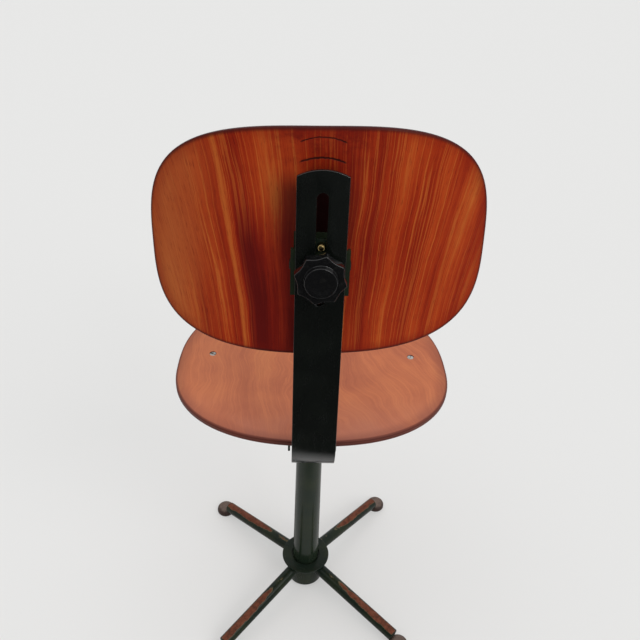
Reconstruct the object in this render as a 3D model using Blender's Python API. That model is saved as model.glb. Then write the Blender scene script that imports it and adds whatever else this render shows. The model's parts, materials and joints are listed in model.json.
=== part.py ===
"""Swivel work chair: a four-legged tubular base, a tapered column with a screw spindle, a plywood seat,
and a plywood backrest on a flat steel arm.

The origin is on the column's axis at floor level. +Z is up, the sitter faces -Y, and sizes are in metres.
"""

import math

import bmesh
import bpy
from mathutils import Matrix, Vector

# Clearances
GAP = 0.0003  # air between pieces that rest on each other
RUNNING = 0.0003  # radial air round a shaft that turns or slides
MERGE = 0.000001

# Details that several pieces share
SHAFT_CHAMFER = 0.001
ROUND_HEAD_CROWN = 0.45  # share of a round head's height that its dome takes
ROUND_HEAD_FLAT = 0.6  # share of a round head's radius that stays flat on top
BOARD_RING_SHARES = (0.4, 0.75)  # rings between a board's middle and its edge
BOARD_EDGE_STEPS = 4
CUTTER_REACH = 0.025  # how far a tall cutter runs past what it cuts
PIVOT_DISPLAY = 0.03

# Base
LEG_COUNT = 4
LEG_FIRST_ANGLE = math.radians(48.0)
LEG_RADIUS = 0.0102
LEG_WALL = 0.002
LEG_HUB_HEIGHT = 0.0440  # tube axis where it meets the hub
LEG_FOOT_HEIGHT = 0.0195  # tube axis over the foot's inner edge
FOOT_CIRCLE = 0.213
FOOT_RADIUS = 0.0165
FOOT_HEIGHT = 0.013
FOOT_BEVEL = 0.0025
LEG_OVERHANG = 0.006  # how far a tube reaches over its foot
HUB_RADIUS = 0.0305
HUB_BOTTOM = 0.0055
HUB_TOP = 0.0547
FLANGE_RADIUS = 0.0415
FLANGE_THICKNESS = 0.0035
FLANGE_HOLE_RADIUS = 0.0248

# Column and height screw
COLUMN_BOTTOM = 0.007
COLUMN_TOP = 0.372
COLUMN_BASE_RADIUS = 0.0228
COLUMN_TAPER = 0.0075  # radius lost per unit of height
COLUMN_WALL = 0.002
GUIDE_LENGTH = 0.040
GUIDE_COLLAR = 0.003
SPINDLE_RADIUS = 0.014
KEYWAY_WIDTH = 0.005
KEYWAY_DEPTH = 0.003
KEY_SCREW_RADIUS = 0.0022
KEY_SCREW_DROP = 0.020  # below the column's top
KEY_HEAD_RADIUS = 0.0045
KEY_HEAD_THICKNESS = 0.003
RING_RADIUS = 0.024
RING_HEIGHT = 0.018
RING_FLUTES = 12
RING_FLUTE_DEPTH = 0.0014
RING_EDGE = 0.0015
SPINDLE_NECK = 0.009  # shoulder above the ring at the lowest seat
HEIGHT_TRAVEL = 0.096
STOP_SPARE = 0.004  # spindle left below the guide at the highest seat
STOP_WASHER_RADIUS = 0.0160
STOP_WASHER_THICKNESS = 0.003
STOP_SCREW_RADIUS = 0.004
STOP_SCREW_LENGTH = 0.018
STOP_HEAD_RADIUS = 0.007
STOP_HEAD_THICKNESS = 0.0045

# Swivel bearing
JOURNAL_RADIUS = 0.010
JOURNAL_LENGTH = 0.040
JOURNAL_END_AIR = 0.0014  # between the journal's end and the arm above it
THRUST_WASHER_RADIUS = 0.0185
THRUST_WASHER_THICKNESS = 0.0025
SOCKET_RADIUS = 0.020
BUSH_RADIUS = 0.0140
BUSH_LENGTH = 0.011
GROOVE_DEPTH = 0.002
GROOVE_WIDTH = 0.007
GROOVE_RISE = 0.020  # middle of the groove above the shoulder
RETAINER_RADIUS = 0.0025
RETAINER_HEAD_RADIUS = 0.0045
RETAINER_HEAD_THICKNESS = 0.003

# Seat support
CHANNEL_WIDTH = 0.066
CHANNEL_HEIGHT = 0.0163
CHANNEL_WALL = 0.003
CHANNEL_REAR = 0.115
CHANNEL_FRONT = -0.075
CROSSBAR_END = 0.015  # bar past its screws
CROSSBAR_WIDTH = 0.032
CROSSBAR_THICKNESS = 0.005
CROSSBAR_PLACE = -0.044
PACKER_LENGTH = 0.056
PACKER_WIDTH = 0.026
REAR_PACKER_PLACE = 0.098
SEAT_SCREW_INSET = 0.049  # from the seat's widest edge
SEAT_SCREW_RADIUS = 0.0025
SEAT_SCREW_HEAD_RADIUS = 0.0048
SEAT_SCREW_HEAD_DEPTH = 0.0026
SCREW_RECESS = 0.0006
NUT_RADIUS = 0.0050
NUT_THICKNESS = 0.004

# Seat board
SEAT_ABOVE_CHANNEL = 0.0277
SEAT_THICKNESS = 0.010
SEAT_DISH = 0.005
SEAT_HALF_WIDTH = 0.199
SEAT_WIDEST = -0.0105
SEAT_REAR_LENGTH = 0.152
SEAT_FRONT_LENGTH = 0.180
SEAT_REAR_POWER = 2.3
SEAT_FRONT_POWER = 2.6
SEAT_FRONT_DROP = 0.012

# Back arm
ARM_WIDTH = 0.055
ARM_THICKNESS = 0.005
ARM_LEAN = math.radians(6.5)  # top towards the sitter
SEAT_ARM_AIR = 0.0045  # from the seat's rear edge to the arm's front face at the clamp
ARM_BEND_RADIUS = 0.060  # outside of the bend
ARM_HEIGHT = 0.4140
ARM_TOP_CROWN = 0.007
ARM_INNER_END = 0.026
SLOT_WIDTH = 0.012
SLOT_LENGTH = 0.131
SLOT_TO_ARM_TOP = 0.0240
DEPTH_SLOT_FRONT = 0.036
DEPTH_SLOT_REAR = 0.086
DEPTH_BOLT_PLACE = 0.074
BOLT_RADIUS = 0.004
BOLT_HEAD_RADIUS = 0.0085
BOLT_HEAD_THICKNESS = 0.0032
WASHER_RADIUS = 0.0125
WASHER_THICKNESS = 0.002

# Star knobs
UPPER_KNOB_RADIUS = 0.0296
LOWER_KNOB_RADIUS = 0.0275
UPPER_KNOB_SPIN = math.radians(31.0)  # turn of the star about its bolt
KNOB_LOBES = 8
KNOB_LOBE_DEPTH = 0.0038
KNOB_LOBE_POWER = 0.8  # below 1 the hollows are broader than the points
KNOB_NECK_RADIUS = 0.0150
KNOB_NECK_LENGTH = 0.0085
KNOB_STAR_THICKNESS = 0.0145
KNOB_BOSS_RADIUS = 0.0180
KNOB_BOSS_HEIGHT = 0.0065
KNOB_EDGE = 0.002
KNOB_POINTS_PER_LOBE = 4
LOWER_KNOB_SHORTER = 0.006
INSERT_RADIUS = 0.0070
INSERT_LENGTH = 0.014
KNOB_BORE_DEPTH = 0.018

# Backrest bracket and hinge
CLAMP_RISE = 0.043  # clamp bolt above the slot's lower end
STUD_RISE = 0.028
STUD_RADIUS = 0.0042
STUD_NECK_RADIUS = 0.0025
STUD_DOME = 0.0030
STUD_REACH = 0.0010  # straight part past the arm's rear face
BRACKET_WIDTH = 0.065
BRACKET_WALL = 0.003
BRACKET_ABOVE = 0.022
BRACKET_BELOW = 0.032
BRACKET_TONGUE_WIDTH = 0.024
BRACKET_TONGUE_ABOVE = 0.035  # top of the web's tongue, which holds the stud
BRACKET_SIDE_DEPTH = 0.010
BRACKET_CORNER = 0.003
HINGE_AXIS_GAP = 0.0125  # pivot axis in front of the arm
PIN_RADIUS = 0.004
PIN_HEAD_RADIUS = 0.0062
PIN_HEAD_THICKNESS = 0.0012
EAR_RADIUS = 0.0085
EAR_WALL = 0.003
EAR_ROOT_HALF = 0.012  # half height of an ear where it meets the hinge plate
HINGE_PLATE_THICKNESS = 0.0025
HINGE_PLATE_HALF_HEIGHT = 0.034
HINGE_SCREW_SIDE = 0.017
HINGE_SCREW_RISE = 0.023
HINGE_SCREW_RADIUS = 0.0022
HINGE_SCREW_HEAD_RADIUS = 0.0048
HINGE_SCREW_HEAD_DEPTH = 0.0024

# Backrest board, in its own upright plane before it is tilted
BACK_TILT = math.radians(9.0)  # top towards the sitter
BACK_HINGE_TO_BOARD = 0.011
BACK_THICKNESS = 0.009
BACK_CURVE_RADIUS = 0.420
BACK_HALF_ARC = 0.203
BACK_WIDEST = 0.0095  # widest line above the pivot
BACK_UP = 0.1385
BACK_DOWN = 0.129
BACK_UP_POWER = 2.95
BACK_DOWN_POWER = 3.2
BACK_ROLL = math.radians(1.3)  # the board sits a little crooked on its hinge plate

# Facets
ROUND = 36
WASHER_ROUND = 24
SMALL_ROUND = 16
SEAT_FACETS = 56
BACK_FACETS = 56
CUT_MARGIN = 0.002


def clear_scene():
    """Removes whatever the scene holds, so the chair is built alone."""
    for obj in list(bpy.data.objects):
        bpy.data.objects.remove(obj, do_unlink=True)


def make_material(name, colour, roughness, metallic=0.0):
    """A Principled material in one plain colour."""
    material = bpy.data.materials.new(name)
    material.use_nodes = True
    shader = material.node_tree.nodes["Principled BSDF"]
    shader.inputs["Base Color"].default_value = (*colour, 1.0)
    shader.inputs["Roughness"].default_value = roughness
    shader.inputs["Metallic"].default_value = metallic
    material.diffuse_color = (*colour, 1.0)
    return material


def make_pivot(name, place, parent=None, tilt=0.0):
    """An empty on a joint's axis, for the pieces that move with it."""
    pivot = bpy.data.objects.new(name, None)
    bpy.context.scene.collection.objects.link(pivot)
    pivot.empty_display_size = PIVOT_DISPLAY
    pivot.parent = parent
    pivot.location = Vector(place) - (world_place(parent) if parent else Vector())
    pivot.rotation_euler.x = tilt
    return pivot


def world_place(obj):
    """Where an object's origin is, as the sum of the locations above it."""
    place = Vector()
    while obj:
        place += obj.location
        obj = obj.parent
    return place


def make_object(name, bm, material, smooth_above=35.0):
    """Turns a bmesh into a shaded object at the scene's origin."""
    bmesh.ops.remove_doubles(bm, verts=bm.verts, dist=MERGE)
    bmesh.ops.recalc_face_normals(bm, faces=bm.faces)
    mesh = bpy.data.meshes.new(name)
    bm.to_mesh(mesh)
    bm.free()
    mesh.shade_smooth()
    mesh.set_sharp_from_angle(angle=math.radians(smooth_above))
    obj = bpy.data.objects.new(name, mesh)
    if material:
        mesh.materials.append(material)
    bpy.context.scene.collection.objects.link(obj)
    return obj


def put(obj, pivot, place=(0.0, 0.0, 0.0), turn=(0.0, 0.0, 0.0)):
    """Parents a piece to its pivot, at a place in the chair's own axes."""
    obj.parent = pivot
    obj.location = Vector(place) - world_place(pivot)
    obj.rotation_euler = turn
    return obj


def put_on_back(obj, pivot, place=(0.0, 0.0, 0.0), turn=(0.0, 0.0, 0.0)):
    """Parents a piece to the tilted backrest, at a place measured from the pivot along the board."""
    obj.parent = pivot
    obj.location = place
    obj.rotation_euler = turn
    return obj


def turned(name, profile, material, segments=ROUND):
    """A lathe piece about Z. The profile is (radius, height) points: a closed loop, or a line from the
    axis to the axis."""
    bm = bmesh.new()
    verts = [bm.verts.new((radius, 0.0, height)) for radius, height in profile]
    edges = [bm.edges.new(pair) for pair in zip(verts, verts[1:])]
    if profile[0][0] > 0.0:
        edges.append(bm.edges.new((verts[-1], verts[0])))
    bmesh.ops.spin(
        bm,
        geom=verts + edges,
        cent=(0.0, 0.0, 0.0),
        axis=(0.0, 0.0, 1.0),
        angle=math.tau,
        steps=segments,
        use_merge=True,
    )
    return make_object(name, bm, material)


def tube_profile(outer, inner, low, high):
    """The closed section of a plain ring or tube."""
    return [(outer, low), (outer, high), (inner, high), (inner, low)]


def rod_profile(radius, low, high, bevel=0.0):
    """The section of a solid rod, with a small bevel at its top."""
    return [(0.0, low), (radius, low), (radius, high - bevel), (radius - bevel, high), (0.0, high)]


def screw_profile(shank, head, head_thickness, length):
    """A round-headed screw with its head's underside at height 0 and its shank along -Z."""
    crown = head_thickness * ROUND_HEAD_CROWN
    return [
        (0.0, -length),
        (shank, -length),
        (shank, 0.0),
        (head, 0.0),
        (head, head_thickness - crown),
        (head * ROUND_HEAD_FLAT, head_thickness),
        (0.0, head_thickness),
    ]


def countersunk_profile(shank, head, head_depth, length):
    """A flat-headed screw with its face at height 0 and its shank along -Z."""
    return [(0.0, -length), (shank, -length), (shank, -head_depth), (head, -GAP), (head, 0.0), (0.0, 0.0)]


def extruded(name, outline, depth, material):
    """A plate: an outline of (x, y) points, carried from height 0 to depth."""
    bm = bmesh.new()
    face = bm.faces.new([bm.verts.new((x, y, 0.0)) for x, y in outline])
    moved = bmesh.ops.extrude_face_region(bm, geom=[face])
    lifted = [item for item in moved["geom"] if isinstance(item, bmesh.types.BMVert)]
    bmesh.ops.translate(bm, vec=(0.0, 0.0, depth), verts=lifted)
    return make_object(name, bm, material)


def block(name, low, high, material):
    """A box between two corners in its own axes."""
    outline = [(low[0], low[1]), (high[0], low[1]), (high[0], high[1]), (low[0], high[1])]
    obj = extruded(name, outline, high[2] - low[2], material)
    obj.data.transform(Matrix.Translation((0.0, 0.0, low[2])))
    return obj


def arc(centre, radius, start, end, steps):
    """Points on an arc, its two ends included, with angles in degrees."""
    points = []
    for step in range(steps + 1):
        angle = math.radians(start + (end - start) * step / steps)
        points.append((centre[0] + radius * math.cos(angle), centre[1] + radius * math.sin(angle)))
    return points


def stadium(width, start, end, steps=8):
    """A slot's outline along the second axis, with round ends inside start and end."""
    radius = width / 2
    return arc((0.0, end - radius), radius, 0.0, 180.0, steps) + arc(
        (0.0, start + radius), radius, 180.0, 360.0, steps
    )


def lofted(name, rings, material):
    """A solid through rings of equal count. A ring of one point closes an end."""
    bm = bmesh.new()
    made = [[bm.verts.new(point) for point in ring] for ring in rings]
    for lower, upper in zip(made, made[1:]):
        count = max(len(lower), len(upper))
        for k in range(count):
            corners = [
                lower[k % len(lower)],
                lower[(k + 1) % len(lower)],
                upper[(k + 1) % len(upper)],
                upper[k % len(upper)],
            ]
            bm.faces.new(list(dict.fromkeys(corners)))
    return make_object(name, bm, material)


def as_cutter(obj, pivot=None):
    """Marks a helper that only shapes other pieces."""
    obj.hide_render = True
    obj.display_type = "WIRE"
    obj.parent = pivot
    return obj


def cut(obj, cutter):
    """Cuts a helper's shape out of a piece."""
    modifier = obj.modifiers.new("cut_" + cutter.name, "BOOLEAN")
    modifier.operation = "DIFFERENCE"
    modifier.solver = "EXACT"
    modifier.object = cutter


def drill(obj, name, radius, low, high, place, turn=(0.0, 0.0, 0.0), pivot=None):
    """Drills a round hole along a cutter's own Z, from low to high."""
    profile = rod_profile(radius, low - CUT_MARGIN, high + CUT_MARGIN)
    cutter = as_cutter(turned(name, profile, None, SMALL_ROUND), pivot)
    cutter.data.transform(Matrix.Rotation(math.pi / SMALL_ROUND, 4, "Z"))
    cutter.location = place
    cutter.rotation_euler = turn
    cut(obj, cutter)
    return cutter


ALONG_X = (0.0, math.pi / 2, 0.0)
ALONG_Y = (-math.pi / 2, 0.0, 0.0)
ALONG_MINUS_Y = (math.pi / 2, 0.0, 0.0)
ALONG_MINUS_Z = (math.pi, 0.0, 0.0)

FLANGE_BOTTOM = HUB_TOP + GAP
RING_BOTTOM = COLUMN_TOP + GAP + GUIDE_COLLAR + GAP
RING_TOP = RING_BOTTOM + RING_HEIGHT
SHOULDER = RING_TOP + SPINDLE_NECK
SPINDLE_BOTTOM = COLUMN_TOP - GUIDE_LENGTH - HEIGHT_TRAVEL - STOP_SPARE
SOCKET_BOTTOM = SHOULDER + GAP + THRUST_WASHER_THICKNESS + GAP
ARM_UNDERSIDE = SHOULDER + JOURNAL_LENGTH + JOURNAL_END_AIR
ARM_TOP = ARM_UNDERSIDE + ARM_HEIGHT
SLOT_TOP = ARM_TOP - SLOT_TO_ARM_TOP
SLOT_BOTTOM = SLOT_TOP - SLOT_LENGTH
CLAMP_HEIGHT = SLOT_BOTTOM + CLAMP_RISE
ARM_FRONT_FACE = SEAT_WIDEST + SEAT_REAR_LENGTH + SEAT_ARM_AIR
ARM_REAR_FACE = ARM_FRONT_FACE + ARM_THICKNESS
WEB_BOTTOM = ARM_UNDERSIDE + ARM_THICKNESS + GAP
WEB_TOP = WEB_BOTTOM + CHANNEL_WALL
SEAT_RIM_HEIGHT = WEB_TOP + SEAT_ABOVE_CHANNEL
SEAT_SCREW_SIDE = SEAT_HALF_WIDTH - SEAT_SCREW_INSET
CROSSBAR_HALF = SEAT_SCREW_SIDE + CROSSBAR_END
BRACKET_REAR = ARM_FRONT_FACE - GAP
BRACKET_FRONT = BRACKET_REAR - BRACKET_WALL
HINGE_PLACE = ARM_FRONT_FACE - HINGE_AXIS_GAP
EAR_OUTER = BRACKET_WIDTH / 2 - BRACKET_WALL - GAP


def leaned(place):
    """A place on the upright arm, turned by the arm's lean about the hinge's axis."""
    hinge = Vector((0.0, HINGE_PLACE, CLAMP_HEIGHT))
    return hinge + Matrix.Rotation(ARM_LEAN, 3, "X") @ (Vector(place) - hinge)


def column_radius(height):
    """Outside radius of the tapered column."""
    return COLUMN_BASE_RADIUS - COLUMN_TAPER * (height - COLUMN_BOTTOM)


def superellipse(angle, half_width, length, power):
    """A point on one quarter of a rounded outline, signs kept."""
    across = math.copysign(abs(math.cos(angle)) ** (2 / power), math.cos(angle))
    along = math.copysign(abs(math.sin(angle)) ** (2 / power), math.sin(angle))
    return half_width * across, length * along


def seat_outline(share, angle):
    """A point on the seat's outline, drawn in by a share of its size."""
    rear = math.sin(angle) > 0.0
    length = SEAT_REAR_LENGTH if rear else SEAT_FRONT_LENGTH
    power = SEAT_REAR_POWER if rear else SEAT_FRONT_POWER
    x, y = superellipse(angle, SEAT_HALF_WIDTH, length, power)
    return share * x, SEAT_WIDEST + share * y


def seat_top(x, y):
    """Height of the seat's upper face: dished in the middle, and rolled down at the front edge."""
    along = y - SEAT_WIDEST
    length = SEAT_REAR_LENGTH if along > 0.0 else SEAT_FRONT_LENGTH
    share = min(1.0, (x / SEAT_HALF_WIDTH) ** 2 + (along / length) ** 2)
    front = min(0.0, along + SEAT_FRONT_LENGTH / 2) / (SEAT_FRONT_LENGTH / 2)
    return SEAT_RIM_HEIGHT - SEAT_DISH * (1.0 - share) - SEAT_FRONT_DROP * front**2


def seat_underside(x, y):
    """Height of the seat's lower face."""
    return seat_top(x, y) - SEAT_THICKNESS


def back_outline(share, angle):
    """A point on the backrest's flat outline: distance round the curve, and height above the pivot."""
    upper = math.sin(angle) > 0.0
    length = BACK_UP if upper else BACK_DOWN
    power = BACK_UP_POWER if upper else BACK_DOWN_POWER
    flat_across, flat_up = superellipse(angle, BACK_HALF_ARC, length, power)
    round_curve = flat_across * math.cos(BACK_ROLL) + flat_up * math.sin(BACK_ROLL)
    up = flat_up * math.cos(BACK_ROLL) - flat_across * math.sin(BACK_ROLL)
    return share * round_curve, BACK_WIDEST + share * up


def on_back_curve(round_curve, up, depth):
    """A point of the backrest in its own axes. Depth 0 is the rear face, and it grows towards the sitter."""
    angle = round_curve / BACK_CURVE_RADIUS
    radius = BACK_CURVE_RADIUS - depth
    y = -BACK_HINGE_TO_BOARD - BACK_CURVE_RADIUS + radius * math.cos(angle)
    return radius * math.sin(angle), y, up


def board_rings(facets, thickness, smaller_side, point):
    """Rings over a rounded board: one face, the half-round edge, and the other face.

    point(share, angle, depth) gives the place of a point at a depth below the first face."""
    edge = thickness / 2
    inset = edge / smaller_side
    levels = [(share, 0.0) for share in BOARD_RING_SHARES]
    for step in range(BOARD_EDGE_STEPS + 1):
        turn = math.pi * step / BOARD_EDGE_STEPS
        levels.append((1.0 - inset * (1.0 - math.sin(turn)), edge * (1.0 - math.cos(turn))))
    levels += [(share, thickness) for share in reversed(BOARD_RING_SHARES)]
    rings = [[point(0.0, 0.0, 0.0)]]
    for share, depth in levels:
        rings.append([point(share, math.tau * k / facets, depth) for k in range(facets)])
    rings.append([point(0.0, 0.0, thickness)])
    return rings


def star_radius(radius, depth, angle):
    """Outline of a star knob: pointed lobes with hollows between them."""
    return radius - depth * abs(math.sin(angle * KNOB_LOBES / 2)) ** KNOB_LOBE_POWER


def build_base(enamel, foot_steel, steel, bronze):
    """The hub, its flange, the four legs with their feet, and the column with its guide."""
    base = make_pivot("base", (0.0, 0.0, 0.0))
    bore_low = column_radius(HUB_BOTTOM) + GAP
    bore_high = column_radius(HUB_TOP) + GAP
    hub = [(HUB_RADIUS, HUB_BOTTOM), (HUB_RADIUS, HUB_TOP), (bore_high, HUB_TOP), (bore_low, HUB_BOTTOM)]
    put(turned("hub_barrel", hub, enamel), base)
    flange_top = FLANGE_BOTTOM + FLANGE_THICKNESS
    flange = tube_profile(FLANGE_RADIUS, FLANGE_HOLE_RADIUS, FLANGE_BOTTOM, flange_top)
    put(turned("hub_flange", flange, enamel), base)
    for number in range(LEG_COUNT):
        build_leg(number, base, enamel, foot_steel)
    build_column(base, enamel, steel, bronze)
    return base


def build_leg(number, base, enamel, foot_steel):
    """One leg tube, cut to the hub and to its foot, and the foot below it."""
    angle = LEG_FIRST_ANGLE + math.tau * number / LEG_COUNT
    outward = Vector((math.cos(angle), math.sin(angle), 0.0))
    inner_foot = FOOT_CIRCLE - FOOT_RADIUS
    start = outward * HUB_RADIUS + Vector((0.0, 0.0, LEG_HUB_HEIGHT))
    end = outward * inner_foot + Vector((0.0, 0.0, LEG_FOOT_HEIGHT))
    along = (end - start).normalized()
    lead = LEG_RADIUS
    length = (end - start).length + lead + LEG_OVERHANG
    inner_end = length - 2 * LEG_WALL
    profile = [
        (0.0, length),
        (LEG_RADIUS - LEG_WALL, length),
        (LEG_RADIUS, length - LEG_WALL),
        (LEG_RADIUS, 0.0),
        (LEG_RADIUS - LEG_WALL, 0.0),
        (LEG_RADIUS - LEG_WALL, inner_end),
        (0.0, inner_end),
    ]
    leg = turned(f"leg_{number + 1}", profile, enamel, SMALL_ROUND)
    turn = along.to_track_quat("Z", "Y").to_euler()
    put(leg, base, start - along * lead, turn)
    hub_cut_profile = rod_profile(HUB_RADIUS + GAP, HUB_BOTTOM - CUTTER_REACH, HUB_TOP + CUTTER_REACH)
    cut(leg, as_cutter(turned(f"hub_clearance_{number + 1}", hub_cut_profile, None)))
    foot_cut_profile = rod_profile(FOOT_RADIUS + GAP, -CUTTER_REACH, FOOT_HEIGHT + GAP)
    foot_cut = as_cutter(turned(f"foot_clearance_{number + 1}", foot_cut_profile, None))
    foot_cut.location = outward * FOOT_CIRCLE
    cut(leg, foot_cut)
    foot_profile = [
        (0.0, 0.0),
        (FOOT_RADIUS - FOOT_BEVEL / 2, 0.0),
        (FOOT_RADIUS, FOOT_BEVEL / 2),
        (FOOT_RADIUS, FOOT_HEIGHT - FOOT_BEVEL),
        (FOOT_RADIUS - FOOT_BEVEL / 3, FOOT_HEIGHT - FOOT_BEVEL / 3),
        (FOOT_RADIUS - FOOT_BEVEL, FOOT_HEIGHT),
        (0.0, FOOT_HEIGHT),
    ]
    foot = turned(f"foot_{number + 1}", foot_profile, foot_steel, WASHER_ROUND)
    put(foot, base, outward * FOOT_CIRCLE)


def build_column(base, enamel, steel, bronze):
    """The tapered tube, the guide bush in its top, and the screw that keys the spindle."""
    low = column_radius(COLUMN_BOTTOM)
    high = column_radius(COLUMN_TOP)
    profile = [
        (low, COLUMN_BOTTOM),
        (high, COLUMN_TOP),
        (high - COLUMN_WALL, COLUMN_TOP),
        (low - COLUMN_WALL, COLUMN_BOTTOM),
    ]
    column = put(turned("column", profile, enamel), base)
    guide_bottom = COLUMN_TOP - GUIDE_LENGTH
    collar = COLUMN_TOP + GAP
    bore = SPINDLE_RADIUS + RUNNING
    guide_profile = [
        (column_radius(guide_bottom) - COLUMN_WALL - GAP, guide_bottom),
        (column_radius(collar) - COLUMN_WALL - GAP, collar),
        (high, collar),
        (high, collar + GUIDE_COLLAR),
        (bore, collar + GUIDE_COLLAR),
        (bore, guide_bottom),
    ]
    guide = put(turned("column_guide", guide_profile, bronze), base)
    key_height = COLUMN_TOP - KEY_SCREW_DROP
    surface = column_radius(key_height) + GAP
    tip = SPINDLE_RADIUS - KEYWAY_DEPTH + RUNNING
    place = (0.0, -surface, key_height)
    profile = screw_profile(KEY_SCREW_RADIUS, KEY_HEAD_RADIUS, KEY_HEAD_THICKNESS, surface - tip)
    put(turned("key_screw", profile, steel, SMALL_ROUND), base, place, ALONG_MINUS_Y)
    hole = drill(
        column, "key_hole", KEY_SCREW_RADIUS + GAP, -surface + tip, GAP, place, ALONG_MINUS_Y
    )
    cut(guide, hole)


def build_height_ring(base, steel):
    """The fluted ring nut that carries the spindle."""
    pivot = make_pivot("height_ring_axis", (0.0, 0.0, RING_BOTTOM), base)
    steps = RING_FLUTES * 4
    bore = SPINDLE_RADIUS + RUNNING
    levels = [
        (bore, 0.0, RING_TOP),
        (RING_RADIUS - RING_EDGE, RING_FLUTE_DEPTH, RING_TOP),
        (RING_RADIUS, RING_FLUTE_DEPTH, RING_TOP - RING_EDGE),
        (RING_RADIUS, RING_FLUTE_DEPTH, RING_BOTTOM + RING_EDGE),
        (RING_RADIUS - RING_EDGE, RING_FLUTE_DEPTH, RING_BOTTOM),
        (bore, 0.0, RING_BOTTOM),
        (bore, 0.0, RING_TOP),
    ]
    rings = []
    for radius, depth, height in levels:
        ring = []
        for k in range(steps):
            angle = math.tau * k / steps
            here = radius - depth * math.cos(angle * RING_FLUTES / 2) ** 2
            ring.append((here * math.cos(angle), here * math.sin(angle), height))
        rings.append(ring)
    put(lofted("height_ring", rings, steel), pivot)
    return pivot


def build_spindle(base, steel, bronze):
    """The screw spindle with its keyway and journal, the stop below it, and the thrust washer."""
    pivot = make_pivot("spindle_axis", (0.0, 0.0, SHOULDER), base)
    groove_low = SHOULDER + GROOVE_RISE - GROOVE_WIDTH / 2
    groove_high = groove_low + GROOVE_WIDTH
    top = SHOULDER + JOURNAL_LENGTH
    profile = [
        (0.0, SPINDLE_BOTTOM),
        (SPINDLE_RADIUS, SPINDLE_BOTTOM),
        (SPINDLE_RADIUS, SHOULDER),
        (JOURNAL_RADIUS, SHOULDER),
        (JOURNAL_RADIUS, groove_low),
        (JOURNAL_RADIUS - GROOVE_DEPTH, groove_low),
        (JOURNAL_RADIUS - GROOVE_DEPTH, groove_high),
        (JOURNAL_RADIUS, groove_high),
        (JOURNAL_RADIUS, top - SHAFT_CHAMFER),
        (JOURNAL_RADIUS - SHAFT_CHAMFER, top),
        (0.0, top),
    ]
    spindle = put(turned("spindle", profile, steel), pivot)
    keyway_top = RING_BOTTOM - GAP
    keyway = block(
        "keyway",
        (-KEYWAY_WIDTH / 2, -SPINDLE_RADIUS - CUT_MARGIN, SPINDLE_BOTTOM - CUT_MARGIN),
        (KEYWAY_WIDTH / 2, -SPINDLE_RADIUS + KEYWAY_DEPTH, keyway_top),
        None,
    )
    cut(spindle, as_cutter(keyway))
    stop_top = SPINDLE_BOTTOM - GAP
    stop_bottom = stop_top - STOP_WASHER_THICKNESS
    bore = STOP_SCREW_RADIUS + GAP
    washer = tube_profile(STOP_WASHER_RADIUS, bore, stop_bottom, stop_top)
    put(turned("spindle_stop_washer", washer, steel, WASHER_ROUND), pivot)
    head_face = stop_bottom - GAP
    profile = screw_profile(STOP_SCREW_RADIUS, STOP_HEAD_RADIUS, STOP_HEAD_THICKNESS, STOP_SCREW_LENGTH)
    screw = turned("spindle_stop_screw", profile, steel, SMALL_ROUND)
    put(screw, pivot, (0.0, 0.0, head_face), ALONG_MINUS_Z)
    drill(
        spindle, "stop_screw_hole", bore, head_face, head_face + STOP_SCREW_LENGTH + GAP, (0.0, 0.0, 0.0)
    )
    thrust_low = SHOULDER + GAP
    thrust = tube_profile(
        THRUST_WASHER_RADIUS, JOURNAL_RADIUS + RUNNING, thrust_low, thrust_low + THRUST_WASHER_THICKNESS
    )
    put(turned("thrust_washer", thrust, bronze, WASHER_ROUND), pivot)
    return pivot


def build_swivel(seat, enamel, steel, bronze):
    """The socket under the channel, its two bushes, and the screw that keeps it on the journal."""
    top = WEB_BOTTOM - GAP
    bore = BUSH_RADIUS + GAP
    socket_profile = tube_profile(SOCKET_RADIUS, bore, SOCKET_BOTTOM, top)
    socket = put(turned("swivel_socket", socket_profile, enamel), seat)
    journal_top = SHOULDER + JOURNAL_LENGTH
    places = (("lower_bush", SOCKET_BOTTOM), ("upper_bush", journal_top - BUSH_LENGTH))
    for name, low in places:
        ring = tube_profile(BUSH_RADIUS, JOURNAL_RADIUS + RUNNING, low, low + BUSH_LENGTH)
        put(turned(name, ring, bronze, WASHER_ROUND), seat)
    height = SHOULDER + GROOVE_RISE
    face = SOCKET_RADIUS + GAP
    tip = JOURNAL_RADIUS - GROOVE_DEPTH + RUNNING
    profile = screw_profile(RETAINER_RADIUS, RETAINER_HEAD_RADIUS, RETAINER_HEAD_THICKNESS, face - tip)
    place = (0.0, -face, height)
    put(turned("retaining_screw", profile, steel, SMALL_ROUND), seat, place, ALONG_MINUS_Y)
    drill(socket, "retaining_hole", RETAINER_RADIUS + GAP, -face + tip, GAP, place, ALONG_MINUS_Y)


def build_channel(seat, enamel):
    """The inverted U under the seat that the arm slides in."""
    half = CHANNEL_WIDTH / 2
    inner = half - CHANNEL_WALL
    bottom = WEB_TOP - CHANNEL_HEIGHT
    outline = [
        (-half, bottom),
        (-inner, bottom),
        (-inner, WEB_BOTTOM),
        (inner, WEB_BOTTOM),
        (inner, bottom),
        (half, bottom),
        (half, WEB_TOP),
        (-half, WEB_TOP),
    ]
    channel = extruded("seat_channel", outline, CHANNEL_REAR - CHANNEL_FRONT, enamel)
    put(channel, seat, (0.0, CHANNEL_REAR, 0.0), ALONG_MINUS_Y)
    drill(channel, "depth_bolt_hole", BOLT_RADIUS + GAP, WEB_BOTTOM, WEB_TOP, (0.0, DEPTH_BOLT_PLACE, 0.0))
    for name, place in (("front", CROSSBAR_PLACE), ("rear", REAR_PACKER_PLACE)):
        radius = SEAT_SCREW_RADIUS + GAP
        drill(channel, f"web_hole_{name}", radius, WEB_BOTTOM, WEB_TOP, (0.0, place, 0.0))


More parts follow.
